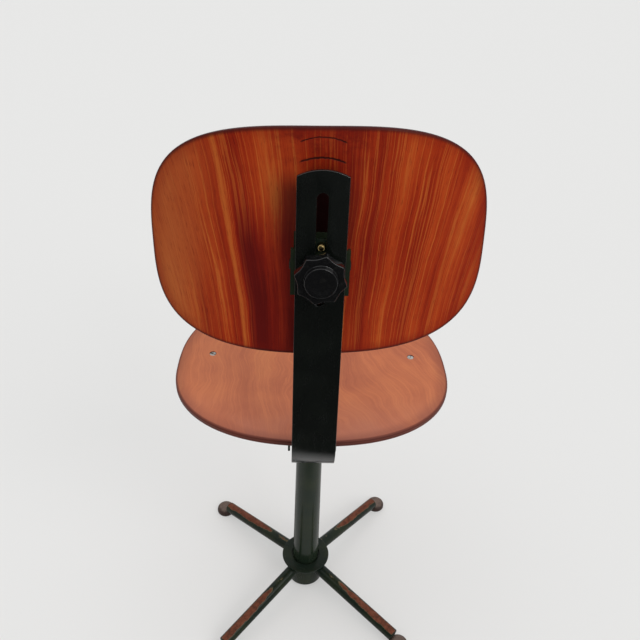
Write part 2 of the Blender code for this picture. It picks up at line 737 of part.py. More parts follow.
def build_crossbar(seat, enamel):
    """The flat bar across the channel, bent to the seat's underside."""
    steps = 12
    front = CROSSBAR_PLACE - CROSSBAR_WIDTH / 2
    rear = CROSSBAR_PLACE + CROSSBAR_WIDTH / 2
    rings = []
    for step in range(steps + 1):
        x = CROSSBAR_HALF * (2 * step / steps - 1.0)
        top = min(seat_underside(x, front), seat_underside(x, rear)) - GAP
        low = top - CROSSBAR_THICKNESS
        rings.append([(x, front, low), (x, rear, low), (x, rear, top), (x, front, top)])
    bm = bmesh.new()
    made = [[bm.verts.new(point) for point in ring] for ring in rings]
    for ring, following in zip(made, made[1:]):
        for k in range(4):
            bm.faces.new((ring[k], ring[(k + 1) % 4], following[(k + 1) % 4], following[k]))
    bm.faces.new(made[0])
    bm.faces.new(made[-1])
    crossbar = put(make_object("crossbar", bm, enamel), seat)
    return crossbar


def build_packers(seat, wood):
    """The blocks that fill the space between the channel and what it carries."""
    low = WEB_TOP + GAP
    half_length = PACKER_LENGTH / 2
    half_width = PACKER_WIDTH / 2
    bar_low = min(
        seat_underside(0.0, CROSSBAR_PLACE - CROSSBAR_WIDTH / 2),
        seat_underside(0.0, CROSSBAR_PLACE + CROSSBAR_WIDTH / 2),
    )
    seat_low = seat_underside(0.0, REAR_PACKER_PLACE - half_width)
    tops = (
        ("front_packer", CROSSBAR_PLACE, bar_low - CROSSBAR_THICKNESS - 2 * GAP),
        ("rear_packer", REAR_PACKER_PLACE, seat_low - GAP),
    )
    for name, place, top in tops:
        corners = (-half_length, place - half_width, low), (half_length, place + half_width, top)
        packer = put(block(name, *corners, wood), seat)
        hole = SEAT_SCREW_RADIUS + GAP
        drill(packer, f"{name}_hole", hole, low, top, (0.0, place, 0.0))


def build_seat_board(seat, wood):
    """The moulded seat."""

    def point(share, angle, depth):
        x, y = seat_outline(share, angle)
        return x, y, seat_top(x, y) - depth

    rings = board_rings(SEAT_FACETS, SEAT_THICKNESS, SEAT_REAR_LENGTH, point)
    return put(lofted("seat_board", rings, wood), seat)


def build_seat_screws(seat, board, crossbar, steel):
    """The four screws that hold the seat, with nuts under the ends of the crossbar."""
    places = (
        ("left", SEAT_SCREW_SIDE, CROSSBAR_PLACE),
        ("right", -SEAT_SCREW_SIDE, CROSSBAR_PLACE),
        ("front", 0.0, CROSSBAR_PLACE),
        ("rear", 0.0, REAR_PACKER_PLACE),
    )
    hole = SEAT_SCREW_RADIUS + GAP
    for name, x, y in places:
        face = seat_top(x, y) - SCREW_RECESS
        bar_low = seat_underside(x, y) - GAP - CROSSBAR_THICKNESS
        low = WEB_BOTTOM + GAP if x == 0.0 else bar_low - NUT_THICKNESS - 4 * GAP
        profile = countersunk_profile(
            SEAT_SCREW_RADIUS, SEAT_SCREW_HEAD_RADIUS, SEAT_SCREW_HEAD_DEPTH, face - low
        )
        put(turned(f"seat_screw_{name}", profile, steel, SMALL_ROUND), seat, (x, y, face))
        bore = [
            (0.0, low - CUT_MARGIN),
            (hole, low - CUT_MARGIN),
            (hole, face - SEAT_SCREW_HEAD_DEPTH - GAP),
            (SEAT_SCREW_HEAD_RADIUS + GAP, face - 2 * GAP),
            (SEAT_SCREW_HEAD_RADIUS + GAP, face + CUT_MARGIN),
            (0.0, face + CUT_MARGIN),
        ]
        cutter = as_cutter(turned(f"seat_hole_{name}", bore, None, SMALL_ROUND))
        cutter.location = (x, y, 0.0)
        cut(board, cutter)
        if y == CROSSBAR_PLACE:
            cut(crossbar, cutter)
        if x != 0.0:
            nut_top = bar_low - 2 * GAP
            put(build_nut(f"crossbar_nut_{name}", hole, steel), seat, (x, y, nut_top))


def build_nut(name, bore, steel):
    """A hexagon nut below its own origin, with a round bore."""
    low = -NUT_THICKNESS
    levels = ((False, 0.0), (True, 0.0), (True, low), (False, low), (False, 0.0))
    rings = []
    for wide, height in levels:
        ring = []
        for k in range(WASHER_ROUND):
            angle = math.tau * k / WASHER_ROUND
            from_flat = math.fmod(angle, math.pi / 3) - math.pi / 6
            radius = NUT_RADIUS * math.cos(math.pi / 6) / math.cos(from_flat) if wide else bore
            ring.append((radius * math.cos(angle), radius * math.sin(angle), height))
        rings.append(ring)
    return lofted(name, rings, steel)


def build_depth_clamp(seat, steel):
    """The bolt through the channel and the arm, and its washer."""
    head = WEB_TOP + GAP
    bolt_low = ARM_UNDERSIDE - GAP - WASHER_THICKNESS - GAP - INSERT_LENGTH
    profile = screw_profile(BOLT_RADIUS, BOLT_HEAD_RADIUS, BOLT_HEAD_THICKNESS, head - bolt_low)
    put(turned("depth_bolt", profile, steel, SMALL_ROUND), seat, (0.0, DEPTH_BOLT_PLACE, head))
    low = ARM_UNDERSIDE - GAP - WASHER_THICKNESS
    washer = tube_profile(WASHER_RADIUS, BOLT_RADIUS + GAP, low, low + WASHER_THICKNESS)
    put(turned("depth_washer", washer, steel, WASHER_ROUND), seat, (0.0, DEPTH_BOLT_PLACE, 0.0))


def build_seat_frame(spindle, enamel, steel, bronze, seat_wood, packer_wood):
    """Everything that swivels with the seat, apart from the arm and the knob."""
    seat = make_pivot("seat_axis", (0.0, 0.0, SOCKET_BOTTOM), spindle)
    build_swivel(seat, enamel, steel, bronze)
    build_channel(seat, enamel)
    crossbar = build_crossbar(seat, enamel)
    build_packers(seat, packer_wood)
    board = build_seat_board(seat, seat_wood)
    build_seat_screws(seat, board, crossbar, steel)
    build_depth_clamp(seat, steel)
    return seat


def build_arm(seat, black):
    """The flat steel arm: a run in the channel, a bend, and an upright with a long slot."""
    pivot = make_pivot("arm_slide", (0.0, ARM_INNER_END, ARM_UNDERSIDE), seat)
    middle = ARM_BEND_RADIUS - ARM_THICKNESS / 2
    bend_z = ARM_UNDERSIDE + ARM_BEND_RADIUS
    clamp_face = leaned((0.0, ARM_REAR_FACE, CLAMP_HEIGHT))
    drop = math.sin(ARM_LEAN) * (bend_z - clamp_face.z)
    bend_y = clamp_face.y - (ARM_BEND_RADIUS + drop) / math.cos(ARM_LEAN)
    bend_steps = 10
    columns = 9
    half = ARM_THICKNESS / 2
    rings = [arm_section([(ARM_INNER_END, bend_z - middle)] * (columns + 1), 0.0, half)]
    for step in range(bend_steps + 1):
        turn = (math.pi / 2 + ARM_LEAN) * step / bend_steps
        centre = (bend_y + middle * math.sin(turn), bend_z - middle * math.cos(turn))
        rings.append(arm_section([centre] * (columns + 1), turn, half))
    crown = []
    for k in range(columns + 1):
        share = 2 * k / columns - 1.0
        top = leaned((0.0, ARM_REAR_FACE - half, ARM_TOP - ARM_TOP_CROWN * share**2))
        crown.append((top.y, top.z))
    rings.append(arm_section(crown, math.pi / 2 + ARM_LEAN, half))
    bm = bmesh.new()
    made = [[bm.verts.new(point) for point in ring] for ring in rings]
    for ring, following in zip(made, made[1:]):
        for k in range(len(ring)):
            after = (k + 1) % len(ring)
            bm.faces.new((ring[k], ring[after], following[after], following[k]))
    for ring in (made[0], made[-1]):
        for k in range(columns):
            back = len(ring) - 1 - k
            bm.faces.new((ring[k], ring[k + 1], ring[back - 1], ring[back]))
    arm = put(make_object("back_arm", bm, black), pivot)
    through = ARM_THICKNESS + 2 * CUT_MARGIN
    upright_outline = stadium(SLOT_WIDTH, SLOT_BOTTOM, SLOT_TOP)
    upright = as_cutter(extruded("height_slot", upright_outline, through, None))
    upright.rotation_euler = (math.pi / 2 + ARM_LEAN, 0.0, 0.0)
    upright.location = leaned((0.0, ARM_REAR_FACE + CUT_MARGIN, 0.0))
    cut(arm, upright)
    flat_outline = stadium(SLOT_WIDTH, DEPTH_SLOT_FRONT, DEPTH_SLOT_REAR)
    flat = as_cutter(extruded("depth_slot", flat_outline, through, None))
    flat.location = (0.0, 0.0, ARM_UNDERSIDE - CUT_MARGIN)
    cut(arm, flat)
    return pivot


def arm_section(places, turn, half):
    """One ring of points round the arm's rectangular section, turned with the bend. The places are the
    middle of its thickness as (y, z), from its right edge to its left one."""
    outer, inner = [], []
    for k, (y, z) in enumerate(places):
        x = ARM_WIDTH * (k / (len(places) - 1) - 0.5)
        shift_y = half * math.sin(turn)
        shift_z = -half * math.cos(turn)
        outer.append((x, y + shift_y, z + shift_z))
        inner.append((x, y - shift_y, z - shift_z))
    return outer + inner[::-1]


def knob_rings(shorter, size):
    """Rings of a star knob of radius size, from the bottom of its bore round to the middle of its boss."""
    neck = KNOB_NECK_LENGTH - shorter
    star_top = neck + KNOB_STAR_THICKNESS
    top = star_top + KNOB_BOSS_HEIGHT
    bore = INSERT_RADIUS + GAP
    levels = [
        (bore, 0.0, KNOB_BORE_DEPTH),
        (bore, 0.0, 0.0),
        (KNOB_NECK_RADIUS, 0.0, 0.0),
        (KNOB_NECK_RADIUS - KNOB_EDGE / 2, 0.0, neck),
        (size - KNOB_EDGE, KNOB_LOBE_DEPTH, neck + KNOB_EDGE / 2),
        (size, KNOB_LOBE_DEPTH, neck + 2 * KNOB_EDGE),
        (size, KNOB_LOBE_DEPTH, star_top - 2 * KNOB_EDGE),
        (size - KNOB_EDGE, KNOB_LOBE_DEPTH, star_top - KNOB_EDGE / 2),
        (KNOB_BOSS_RADIUS + KNOB_EDGE / 2, 0.0, star_top),
        (KNOB_BOSS_RADIUS, 0.0, top - KNOB_EDGE),
        (KNOB_BOSS_RADIUS - KNOB_EDGE, 0.0, top),
        (KNOB_BOSS_RADIUS / 2, 0.0, top - KNOB_EDGE / 2),
    ]
    steps = KNOB_LOBES * KNOB_POINTS_PER_LOBE
    rings = [[(0.0, 0.0, KNOB_BORE_DEPTH)]]
    for radius, depth, height in levels:
        ring = []
        for k in range(steps):
            angle = math.tau * k / steps
            here = star_radius(radius, depth, angle)
            ring.append((here * math.cos(angle), here * math.sin(angle), height))
        rings.append(ring)
    rings.append([(0.0, 0.0, top - KNOB_EDGE)])
    return rings


def build_knob(name, parent, place, turn, rings, spin, bakelite, brass):
    """A star knob with its threaded insert, on a pivot along its bolt."""
    pivot = make_pivot(f"{name}_axis", place, parent)
    knob = lofted(name, rings, bakelite)
    knob.data.transform(Matrix.Rotation(spin, 4, "Z"))
    put(knob, pivot, place, turn)
    ring = tube_profile(INSERT_RADIUS, BOLT_RADIUS + RUNNING, 0.0, INSERT_LENGTH)
    put(turned(f"{name}_insert", ring, brass, WASHER_ROUND), pivot, place, turn)
    return pivot


def bracket_side_outline():
    """Side cheek of the bracket, as (distance in front of its back plate, height) points."""
    nose = BRACKET_REAR - HINGE_PLACE
    low = CLAMP_HEIGHT - BRACKET_BELOW
    high = CLAMP_HEIGHT + BRACKET_ABOVE
    side = BRACKET_SIDE_DEPTH
    inside_corner = side - BRACKET_CORNER
    return [
        (0.0, low),
        (inside_corner, low),
        (side, low + BRACKET_CORNER),
        *arc((nose, CLAMP_HEIGHT), EAR_RADIUS, -60.0, 60.0, 8),
        (side, high - BRACKET_CORNER),
        (inside_corner, high),
        (0.0, high),
    ]


def bracket_web_outline():
    """Web of the bracket as (across, height) points: a plate with a tongue behind the arm's slot."""
    half = BRACKET_WIDTH / 2
    low = CLAMP_HEIGHT - BRACKET_BELOW
    high = CLAMP_HEIGHT + BRACKET_ABOVE
    tongue = BRACKET_TONGUE_WIDTH / 2
    top = CLAMP_HEIGHT + BRACKET_TONGUE_ABOVE
    return [
        (-half, low),
        (half, low),
        (half, high),
        (tongue, high),
        (tongue, top),
        (-tongue, top),
        (-tongue, high),
        (-half, high),
    ]


def build_bracket(arm, enamel, steel, brass):
    """The clamp bracket on the arm: a bent plate, its bolt and washer, and the brass guide stud."""
    pivot = make_pivot("bracket_slide", (0.0, HINGE_PLACE, CLAMP_HEIGHT), arm, ARM_LEAN)
    origin = world_place(pivot)
    half = BRACKET_WIDTH / 2
    plate = extruded("back_bracket", bracket_web_outline(), BRACKET_WALL, enamel)
    stand = Matrix.Translation((0.0, BRACKET_REAR, 0.0)) @ Matrix.Rotation(math.pi / 2, 4, "X")
    plate.data.transform(stand)
    put(plate, pivot)
    for name, x in (("left", half - BRACKET_WALL), ("right", -half)):
        cheek = extruded(f"cheek_{name}", bracket_side_outline(), BRACKET_WALL, None)
        cheek.data.transform(cheek_axes())
        as_cutter(cheek, pivot)
        cheek.location = Vector((x, BRACKET_REAR, 0.0)) - origin
        join = plate.modifiers.new(f"join_{name}", "BOOLEAN")
        join.operation = "UNION"
        join.solver = "EXACT"
        join.object = cheek
    pin_hole = PIN_RADIUS + RUNNING
    drill(plate, "pin_hole", pin_hole, -half, half, (0.0, 0.0, 0.0), ALONG_X, pivot)
    stud_height = CLAMP_HEIGHT + STUD_RISE
    holes = (
        ("clamp_bolt_hole", BOLT_RADIUS + GAP, CLAMP_HEIGHT),
        ("stud_hole", STUD_NECK_RADIUS + GAP, stud_height),
    )
    for name, radius, height in holes:
        place = Vector((0.0, BRACKET_REAR, height)) - origin
        drill(plate, name, radius, -BRACKET_WALL, 0.0, place, ALONG_Y, pivot)

    head = BRACKET_FRONT - GAP
    end = ARM_REAR_FACE + GAP + WASHER_THICKNESS + GAP + INSERT_LENGTH
    profile = screw_profile(BOLT_RADIUS, BOLT_HEAD_RADIUS, BOLT_HEAD_THICKNESS, end - head)
    put(turned("clamp_bolt", profile, steel, SMALL_ROUND), pivot, (0.0, head, CLAMP_HEIGHT), ALONG_MINUS_Y)
    washer = tube_profile(WASHER_RADIUS, BOLT_RADIUS + GAP, 0.0, WASHER_THICKNESS)
    place = (0.0, ARM_REAR_FACE + GAP, CLAMP_HEIGHT)
    put(turned("clamp_washer", washer, steel, WASHER_ROUND), pivot, place, ALONG_Y)

    face = ARM_REAR_FACE + STUD_REACH - BRACKET_REAR
    stud_profile = [
        (0.0, -BRACKET_WALL),
        (STUD_NECK_RADIUS, -BRACKET_WALL),
        (STUD_NECK_RADIUS, GAP),
        (STUD_RADIUS, GAP),
    ]
    dome_steps = 5
    for step in range(dome_steps + 1):
        turn = math.pi / 2 * step / dome_steps
        stud_profile.append((STUD_RADIUS * math.cos(turn), face + STUD_DOME * math.sin(turn)))
    stud_profile[-1] = (0.0, face + STUD_DOME)
    stud = turned("guide_stud", stud_profile, brass, SMALL_ROUND)
    put(stud, pivot, (0.0, BRACKET_REAR, stud_height), ALONG_Y)
    return pivot


def cheek_axes():
    """Maps an outline drawn as (forward, up), extruded along its own Z, to the chair's axes."""
    return Matrix(((0.0, 0.0, 1.0), (-1.0, 0.0, 0.0), (0.0, 1.0, 0.0))).to_4x4()


def build_backrest(bracket, wood, enamel, steel):
    """The backrest board with its hinge plate, pin and screws, all on the hinge's axis."""
    place = (0.0, HINGE_PLACE, CLAMP_HEIGHT)
    pivot = make_pivot("backrest_hinge", place, bracket, BACK_TILT - ARM_LEAN)

    def point(share, angle, depth):
        return on_back_curve(*back_outline(share, angle), depth)

    rings = board_rings(BACK_FACETS, BACK_THICKNESS, min(BACK_UP, BACK_DOWN), point)
    board = put_on_back(lofted("backrest_board", rings, wood), pivot)
    plate = build_hinge_plate(pivot, enamel)
    half = BRACKET_WIDTH / 2
    pin_length = BRACKET_WIDTH + 2 * GAP
    pin_end = pin_length + PIN_HEAD_THICKNESS
    head_edge = PIN_HEAD_RADIUS - SHAFT_CHAMFER
    pin_profile = [
        (0.0, -PIN_HEAD_THICKNESS),
        (head_edge, -PIN_HEAD_THICKNESS),
        (PIN_HEAD_RADIUS, SHAFT_CHAMFER - PIN_HEAD_THICKNESS),
        (PIN_HEAD_RADIUS, 0.0),
        (PIN_RADIUS, 0.0),
        (PIN_RADIUS, pin_length),
        (PIN_HEAD_RADIUS, pin_length),
        (PIN_HEAD_RADIUS, pin_end - SHAFT_CHAMFER),
        (head_edge, pin_end),
        (0.0, pin_end),
    ]
    pin = turned("hinge_pin", pin_profile, steel, SMALL_ROUND)
    put_on_back(pin, pivot, (-half - GAP, 0.0, 0.0), ALONG_X)
    build_hinge_screws(pivot, board, plate, steel)
    return pivot


def build_hinge_plate(pivot, enamel):
    """A plate bent to the board's rear face, with two ears that hold the pin."""
    columns = 9
    half_height = HINGE_PLATE_HALF_HEIGHT
    rings = []
    for depth in (-GAP, -GAP - HINGE_PLATE_THICKNESS):
        lower, upper = [], []
        for k in range(columns + 1):
            round_curve = 2 * EAR_OUTER * (k / columns - 0.5)
            lower.append(on_back_curve(round_curve, -half_height, depth))
            upper.append(on_back_curve(round_curve, half_height, depth))
        rings.append(lower + upper[::-1])
    bm = bmesh.new()
    made = [[bm.verts.new(point) for point in ring] for ring in rings]
    front, rear = made
    for k in range(len(front)):
        after = (k + 1) % len(front)
        bm.faces.new((front[k], front[after], rear[after], rear[k]))
    for ring in made:
        for k in range(columns):
            back = len(ring) - 1 - k
            bm.faces.new((ring[k], ring[k + 1], ring[back - 1], ring[back]))
    plate = put_on_back(make_object("hinge_plate", bm, enamel), pivot)
    sunk = BACK_HINGE_TO_BOARD - GAP - HINGE_PLATE_THICKNESS / 2 + ear_sagitta()
    round_end = arc((0.0, 0.0), EAR_RADIUS, -90.0, -270.0, 12)
    ear_outline = [(sunk, -EAR_ROOT_HALF), *round_end, (sunk, EAR_ROOT_HALF)]
    for name, x in (("left", EAR_OUTER - EAR_WALL), ("right", -EAR_OUTER)):
        ear = extruded(f"ear_{name}", ear_outline, EAR_WALL, None)
        ear.data.transform(cheek_axes())
        ear.location = (x, 0.0, 0.0)
        as_cutter(ear, pivot)
        join = plate.modifiers.new(f"join_{name}", "BOOLEAN")
        join.operation = "UNION"
        join.solver = "EXACT"
        join.object = ear
    drill(plate, "ear_hole", PIN_RADIUS + GAP, -EAR_OUTER, EAR_OUTER, (0.0, 0.0, 0.0), ALONG_X, pivot)
    return plate


def ear_sagitta():
    """How far the board's rear face falls away at the ears."""
    return BACK_CURVE_RADIUS * (1.0 - math.cos((EAR_OUTER - EAR_WALL) / BACK_CURVE_RADIUS))


def build_hinge_screws(pivot, board, plate, steel):
    """Four screws from the sitter's side through the board into the hinge plate."""
    length = BACK_THICKNESS - SCREW_RECESS + GAP + HINGE_PLATE_THICKNESS
    profile = countersunk_profile(
        HINGE_SCREW_RADIUS, HINGE_SCREW_HEAD_RADIUS, HINGE_SCREW_HEAD_DEPTH, length
    )
    bore = HINGE_SCREW_RADIUS + GAP
    wide = HINGE_SCREW_HEAD_RADIUS + GAP
    hole = [
        (0.0, -length - CUT_MARGIN),
        (bore, -length - CUT_MARGIN),
        (bore, -HINGE_SCREW_HEAD_DEPTH - GAP),
        (wide, -2 * GAP),
        (wide, CUT_MARGIN),
        (0.0, CUT_MARGIN),
    ]
    rows = (HINGE_SCREW_RISE, -HINGE_SCREW_RISE)
    corners = [(across, up) for up in rows for across in (HINGE_SCREW_SIDE, -HINGE_SCREW_SIDE)]
    for number, (across, up) in enumerate(corners, start=1):
        place = on_back_curve(across, up, BACK_THICKNESS - SCREW_RECESS)
        turn = (math.pi / 2, 0.0, across / BACK_CURVE_RADIUS)
        screw = turned(f"hinge_screw_{number}", profile, steel, SMALL_ROUND)
        put_on_back(screw, pivot, place, turn)
        cutter = as_cutter(turned(f"hinge_screw_hole_{number}", hole, None, SMALL_ROUND), pivot)
        cutter.location = place
        cutter.rotation_euler = turn
        cut(board, cutter)
        cut(plate, cutter)


def build_chair():
    """Builds every piece, from the floor up."""
    green = make_material("green_enamel", (0.016, 0.024, 0.018), 0.30)
    black = make_material("black_enamel", (0.006, 0.007, 0.007), 0.35)
    foot_steel = make_material("worn_foot_steel", (0.110, 0.072, 0.055), 0.55, 0.4)
    steel = make_material("bright_steel", (0.52, 0.52, 0.52), 0.35, 1.0)
    bronze = make_material("bronze", (0.42, 0.25, 0.12), 0.40, 1.0)
    brass = make_material("brass", (0.62, 0.47, 0.20), 0.30, 1.0)
    bakelite = make_material("black_bakelite", (0.008, 0.008, 0.009), 0.25)
    back_wood = make_material("backrest_veneer", (0.30, 0.060, 0.022), 0.35)
    seat_wood = make_material("seat_veneer", (0.33, 0.125, 0.070), 0.50)
    packer_wood = make_material("beech", (0.45, 0.27, 0.14), 0.60)

    base = build_base(green, foot_steel, steel, bronze)
    build_height_ring(base, steel)
    spindle = build_spindle(base, steel, bronze)
    seat = build_seat_frame(spindle, green, steel, bronze, seat_wood, packer_wood)
    lower_place = (0.0, DEPTH_BOLT_PLACE, ARM_UNDERSIDE - GAP - WASHER_THICKNESS - GAP)
    lower_rings = knob_rings(LOWER_KNOB_SHORTER, LOWER_KNOB_RADIUS)
    build_knob("lower_knob", seat, lower_place, ALONG_MINUS_Z, lower_rings, 0.0, bakelite, brass)
    arm = build_arm(seat, black)
    bracket = build_bracket(arm, green, steel, brass)
    upper_place = (0.0, ARM_REAR_FACE + GAP + WASHER_THICKNESS + GAP, CLAMP_HEIGHT)
    upper_rings = knob_rings(0.0, UPPER_KNOB_RADIUS)
    build_knob("upper_knob", bracket, upper_place, ALONG_Y, upper_rings, UPPER_KNOB_SPIN, bakelite, brass)
    build_backrest(bracket, back_wood, green, steel)


clear_scene()
build_chair()
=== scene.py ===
"""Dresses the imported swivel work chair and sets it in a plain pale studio.

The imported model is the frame. Boards, tubes, turned steel and star knobs are replaced by finer pieces in the
same places, plates and bars get rounded edges, and every surface gets its own finish. Sizes are in metres, in
the chair's axes: the origin is on the column's axis at floor level, +Z is up, and the sitter faces -Y.
"""

import json
import logging
import math
from dataclasses import dataclass, field
from enum import Enum
from typing import Iterable, Sequence, Union

import bmesh
import bpy
from mathutils import Matrix, Vector

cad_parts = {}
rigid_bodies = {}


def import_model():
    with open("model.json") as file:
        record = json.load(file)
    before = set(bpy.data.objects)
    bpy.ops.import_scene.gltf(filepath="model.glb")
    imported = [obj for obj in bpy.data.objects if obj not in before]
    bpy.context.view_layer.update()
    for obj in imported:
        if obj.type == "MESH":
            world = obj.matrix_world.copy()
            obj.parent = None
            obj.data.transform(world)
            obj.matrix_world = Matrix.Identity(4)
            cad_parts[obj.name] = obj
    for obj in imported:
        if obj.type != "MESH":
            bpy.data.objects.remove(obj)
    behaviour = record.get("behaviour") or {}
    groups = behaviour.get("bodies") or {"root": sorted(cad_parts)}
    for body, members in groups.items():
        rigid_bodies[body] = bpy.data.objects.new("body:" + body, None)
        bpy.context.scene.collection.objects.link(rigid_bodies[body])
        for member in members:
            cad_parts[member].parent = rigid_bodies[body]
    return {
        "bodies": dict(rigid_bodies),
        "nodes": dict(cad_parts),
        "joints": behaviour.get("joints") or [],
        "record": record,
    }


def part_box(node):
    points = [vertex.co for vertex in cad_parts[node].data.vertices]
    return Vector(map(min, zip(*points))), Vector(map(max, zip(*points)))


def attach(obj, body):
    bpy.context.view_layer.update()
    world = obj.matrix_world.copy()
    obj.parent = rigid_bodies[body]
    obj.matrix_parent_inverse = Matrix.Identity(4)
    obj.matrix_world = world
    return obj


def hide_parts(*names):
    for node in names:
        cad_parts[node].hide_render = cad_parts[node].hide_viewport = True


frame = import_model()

LOG = logging.getLogger("chair")

Colour = tuple[float, float, float]
Point = tuple[float, float, float]
Feed = Union[float, int, Colour, tuple[float, float, float, float], bpy.types.NodeSocket]

GAP = 0.0003  # air that the frame keeps between pieces that rest on each other
ARM_LEAN = math.radians(6.5)  # the upright's top leans towards the sitter
ARM_OUTWARD: Point = (0.0, math.cos(ARM_LEAN), math.sin(ARM_LEAN))  # square to the arm, off the sitter
MERGE = 0.00001


class Slot(Enum):
    """The record's material slots."""

    GREEN = "green_enamel"
    BLACK = "black_enamel"
    FOOT = "foot_steel"
    STEEL = "steel"
    BRONZE = "bronze"
    BRASS = "brass"
    BAKELITE = "bakelite"
    BACK = "back_veneer"
    SEAT = "seat_veneer"
    BEECH = "beech"


class Axis(Enum):
    """A coordinate of the chair, by its place in a vector."""

    X = 0
    Y = 1
    Z = 2


# Helpers for materials


class Recipe:
    """A material in the making, with short calls for the nodes that the finishes share."""

    def __init__(self, name: str, roughness: float, metallic: float = 0.0) -> None:
        """Starts a material.

        Args:
            name: the material's name.
            roughness: the shader's roughness until a pattern is fed to it.
            metallic: the shader's metallic value.
        """
        self.material = bpy.data.materials.new(name)
        self.material.use_nodes = True
        self.tree = self.material.node_tree
        self.shader = self.tree.nodes["Principled BSDF"]
        self.shader.inputs["Roughness"].default_value = roughness
        self.shader.inputs["Metallic"].default_value = metallic
        self.place = self.node("ShaderNodeTexCoord").outputs["Object"]
        self.heights: list[tuple[bpy.types.NodeSocket, float]] = []

    def node(self, kind: str) -> bpy.types.Node:
        """Adds a node of a kind."""
        return self.tree.nodes.new(kind)

    def feed(self, socket: bpy.types.NodeSocket, value: Feed) -> None:
        """Links a socket's source to it, or sets its value.

        Args:
            socket: the input socket.
            value: another node's output, a number or a colour.
        """
        if isinstance(value, bpy.types.NodeSocket):
            self.tree.links.new(value, socket)
        elif isinstance(value, tuple) and len(value) == 3 and socket.type == "RGBA":
            socket.default_value = (*value, 1.0)
        else:
            socket.default_value = value

    def math(self, operation: str, first: Feed, second: Feed = 0.0) -> bpy.types.NodeSocket:
        """Works out one sum.

        Args:
            operation: the Math node's operation.
            first: its first value.
            second: its second value.

        Returns:
            The result's socket.
        """
        made = self.node("ShaderNodeMath")
        made.operation = operation
        self.feed(made.inputs[0], first)
        self.feed(made.inputs[1], second)
        return made.outputs[0]

    def coordinate(self, axis: Axis) -> bpy.types.NodeSocket:
        """The piece's own coordinate along an axis."""
        split = self.node("ShaderNodeSeparateXYZ")
        self.feed(split.inputs[0], self.place)
        return split.outputs[axis.value]

    def sheet(self, layer: str) -> tuple[bpy.types.NodeSocket, bpy.types.NodeSocket]:
        """A board's depth under its face and distance in from its edge, from its own layer."""
        placed_by = self.node("ShaderNodeUVMap")
        placed_by.uv_map = layer
        split = self.node("ShaderNodeSeparateXYZ")
        self.feed(split.inputs[0], placed_by.outputs[0])
        return split.outputs[0], split.outputs[1]

    def upward(self) -> bpy.types.NodeSocket:
        """How far the surface faces up, from -1 to 1, in the piece's own axes."""
        split = self.node("ShaderNodeSeparateXYZ")
        self.feed(split.inputs[0], self.node("ShaderNodeTexCoord").outputs["Normal"])
        return split.outputs[Axis.Z.value]

    def vector(self, x: Feed, y: Feed, z: Feed) -> bpy.types.NodeSocket:
        """Joins three numbers to a vector."""
        joined = self.node("ShaderNodeCombineXYZ")
        for socket, value in zip(joined.inputs, (x, y, z)):
            self.feed(socket, value)
        return joined.outputs[0]

    def stretched(self, scale: Point, source: bpy.types.NodeSocket = None, shift: Point = (0, 0, 0)):
        """Coordinates scaled along each axis.

        Args:
            scale: repeats per metre along each axis.
            source: the coordinates to scale, or the piece's own.
            shift: what is added after scaling.

        Returns:
            The scaled coordinates' socket.
        """
        mapping = self.node("ShaderNodeMapping")
        self.feed(mapping.inputs["Vector"], source or self.place)
        mapping.inputs["Scale"].default_value = scale
        mapping.inputs["Location"].default_value = shift
        return mapping.outputs[0]

    def noise(
        self,
        scale: Union[float, Point],
        detail: float = 3.0,
        rough: float = 0.55,
        source: bpy.types.NodeSocket = None,
        shift: Point = (0, 0, 0),
        swirl: float = 0.0,
    ) -> bpy.types.NodeSocket:
        """A cloudy pattern from 0 to 1.

        Args:
            scale: features per metre, the same all ways or for each axis.
            detail: octaves of finer noise.
            rough: strength of the finer octaves.
            source: the coordinates to use, or the piece's own.
            shift: moves the pattern, so that two of them differ.
            swirl: how far the pattern is bent by itself.

        Returns:
            The pattern's socket.
        """
        sizes = (scale, scale, scale) if isinstance(scale, (int, float)) else scale
        texture = self.node("ShaderNodeTexNoise")
        self.feed(texture.inputs["Vector"], self.stretched(sizes, source, shift))
        texture.inputs["Scale"].default_value = 1.0
        texture.inputs["Detail"].default_value = detail
        texture.inputs["Roughness"].default_value = rough
        texture.inputs["Distortion"].default_value = swirl
        return texture.outputs[0]

    def span(self, value: Feed, low: Feed, high: Feed, start: Feed = 0.0, end: Feed = 1.0):
        """Maps a range smoothly to another and holds it at both ends.

        Args:
            value: the number to map.
            low: where the source range starts.
            high: where the source range ends.
            start: the result at low.
            end: the result at high.

        Returns:
            The mapped number's socket.
        """
        mapped = self.node("ShaderNodeMapRange")
        mapped.interpolation_type = "SMOOTHSTEP"
        labels = ("Value", "From Min", "From Max", "To Min", "To Max")
        for label, given in zip(labels, (value, low, high, start, end)):
            self.feed(mapped.inputs[label], given)
        return mapped.outputs[0]

    def mix(self, factor: Feed, first: Feed, second: Feed, blend: str = "MIX") -> bpy.types.NodeSocket:
        """Blends two colours.

        Args:
            factor: the second colour's share.
            first: the colour below.
            second: the colour on top.
            blend: the way of blending.

        Returns:
            The blended colour's socket.
        """
        blender = self.node("ShaderNodeMix")
        blender.data_type = "RGBA"
        blender.blend_type = blend
        self.feed(blender.inputs[0], factor)
        self.feed(blender.inputs[6], first)
        self.feed(blender.inputs[7], second)
        return blender.outputs[2]

    def ramp(self, value: Feed, *stops: tuple[float, Colour]) -> bpy.types.NodeSocket:
        """Colours along a number.

        Args:
            value: the number.
            stops: pairs of a place from 0 to 1 and a colour.

        Returns:
            The colour's socket.
        """
        ramp = self.node("ShaderNodeValToRGB")
        points = ramp.color_ramp.elements
        for number, (place, colour) in enumerate(stops):
            point = points[number] if number < len(points) else points.new(place)
            point.position = place
            point.color = (*colour, 1.0)
        self.feed(ramp.inputs[0], value)
        return ramp.outputs[0]

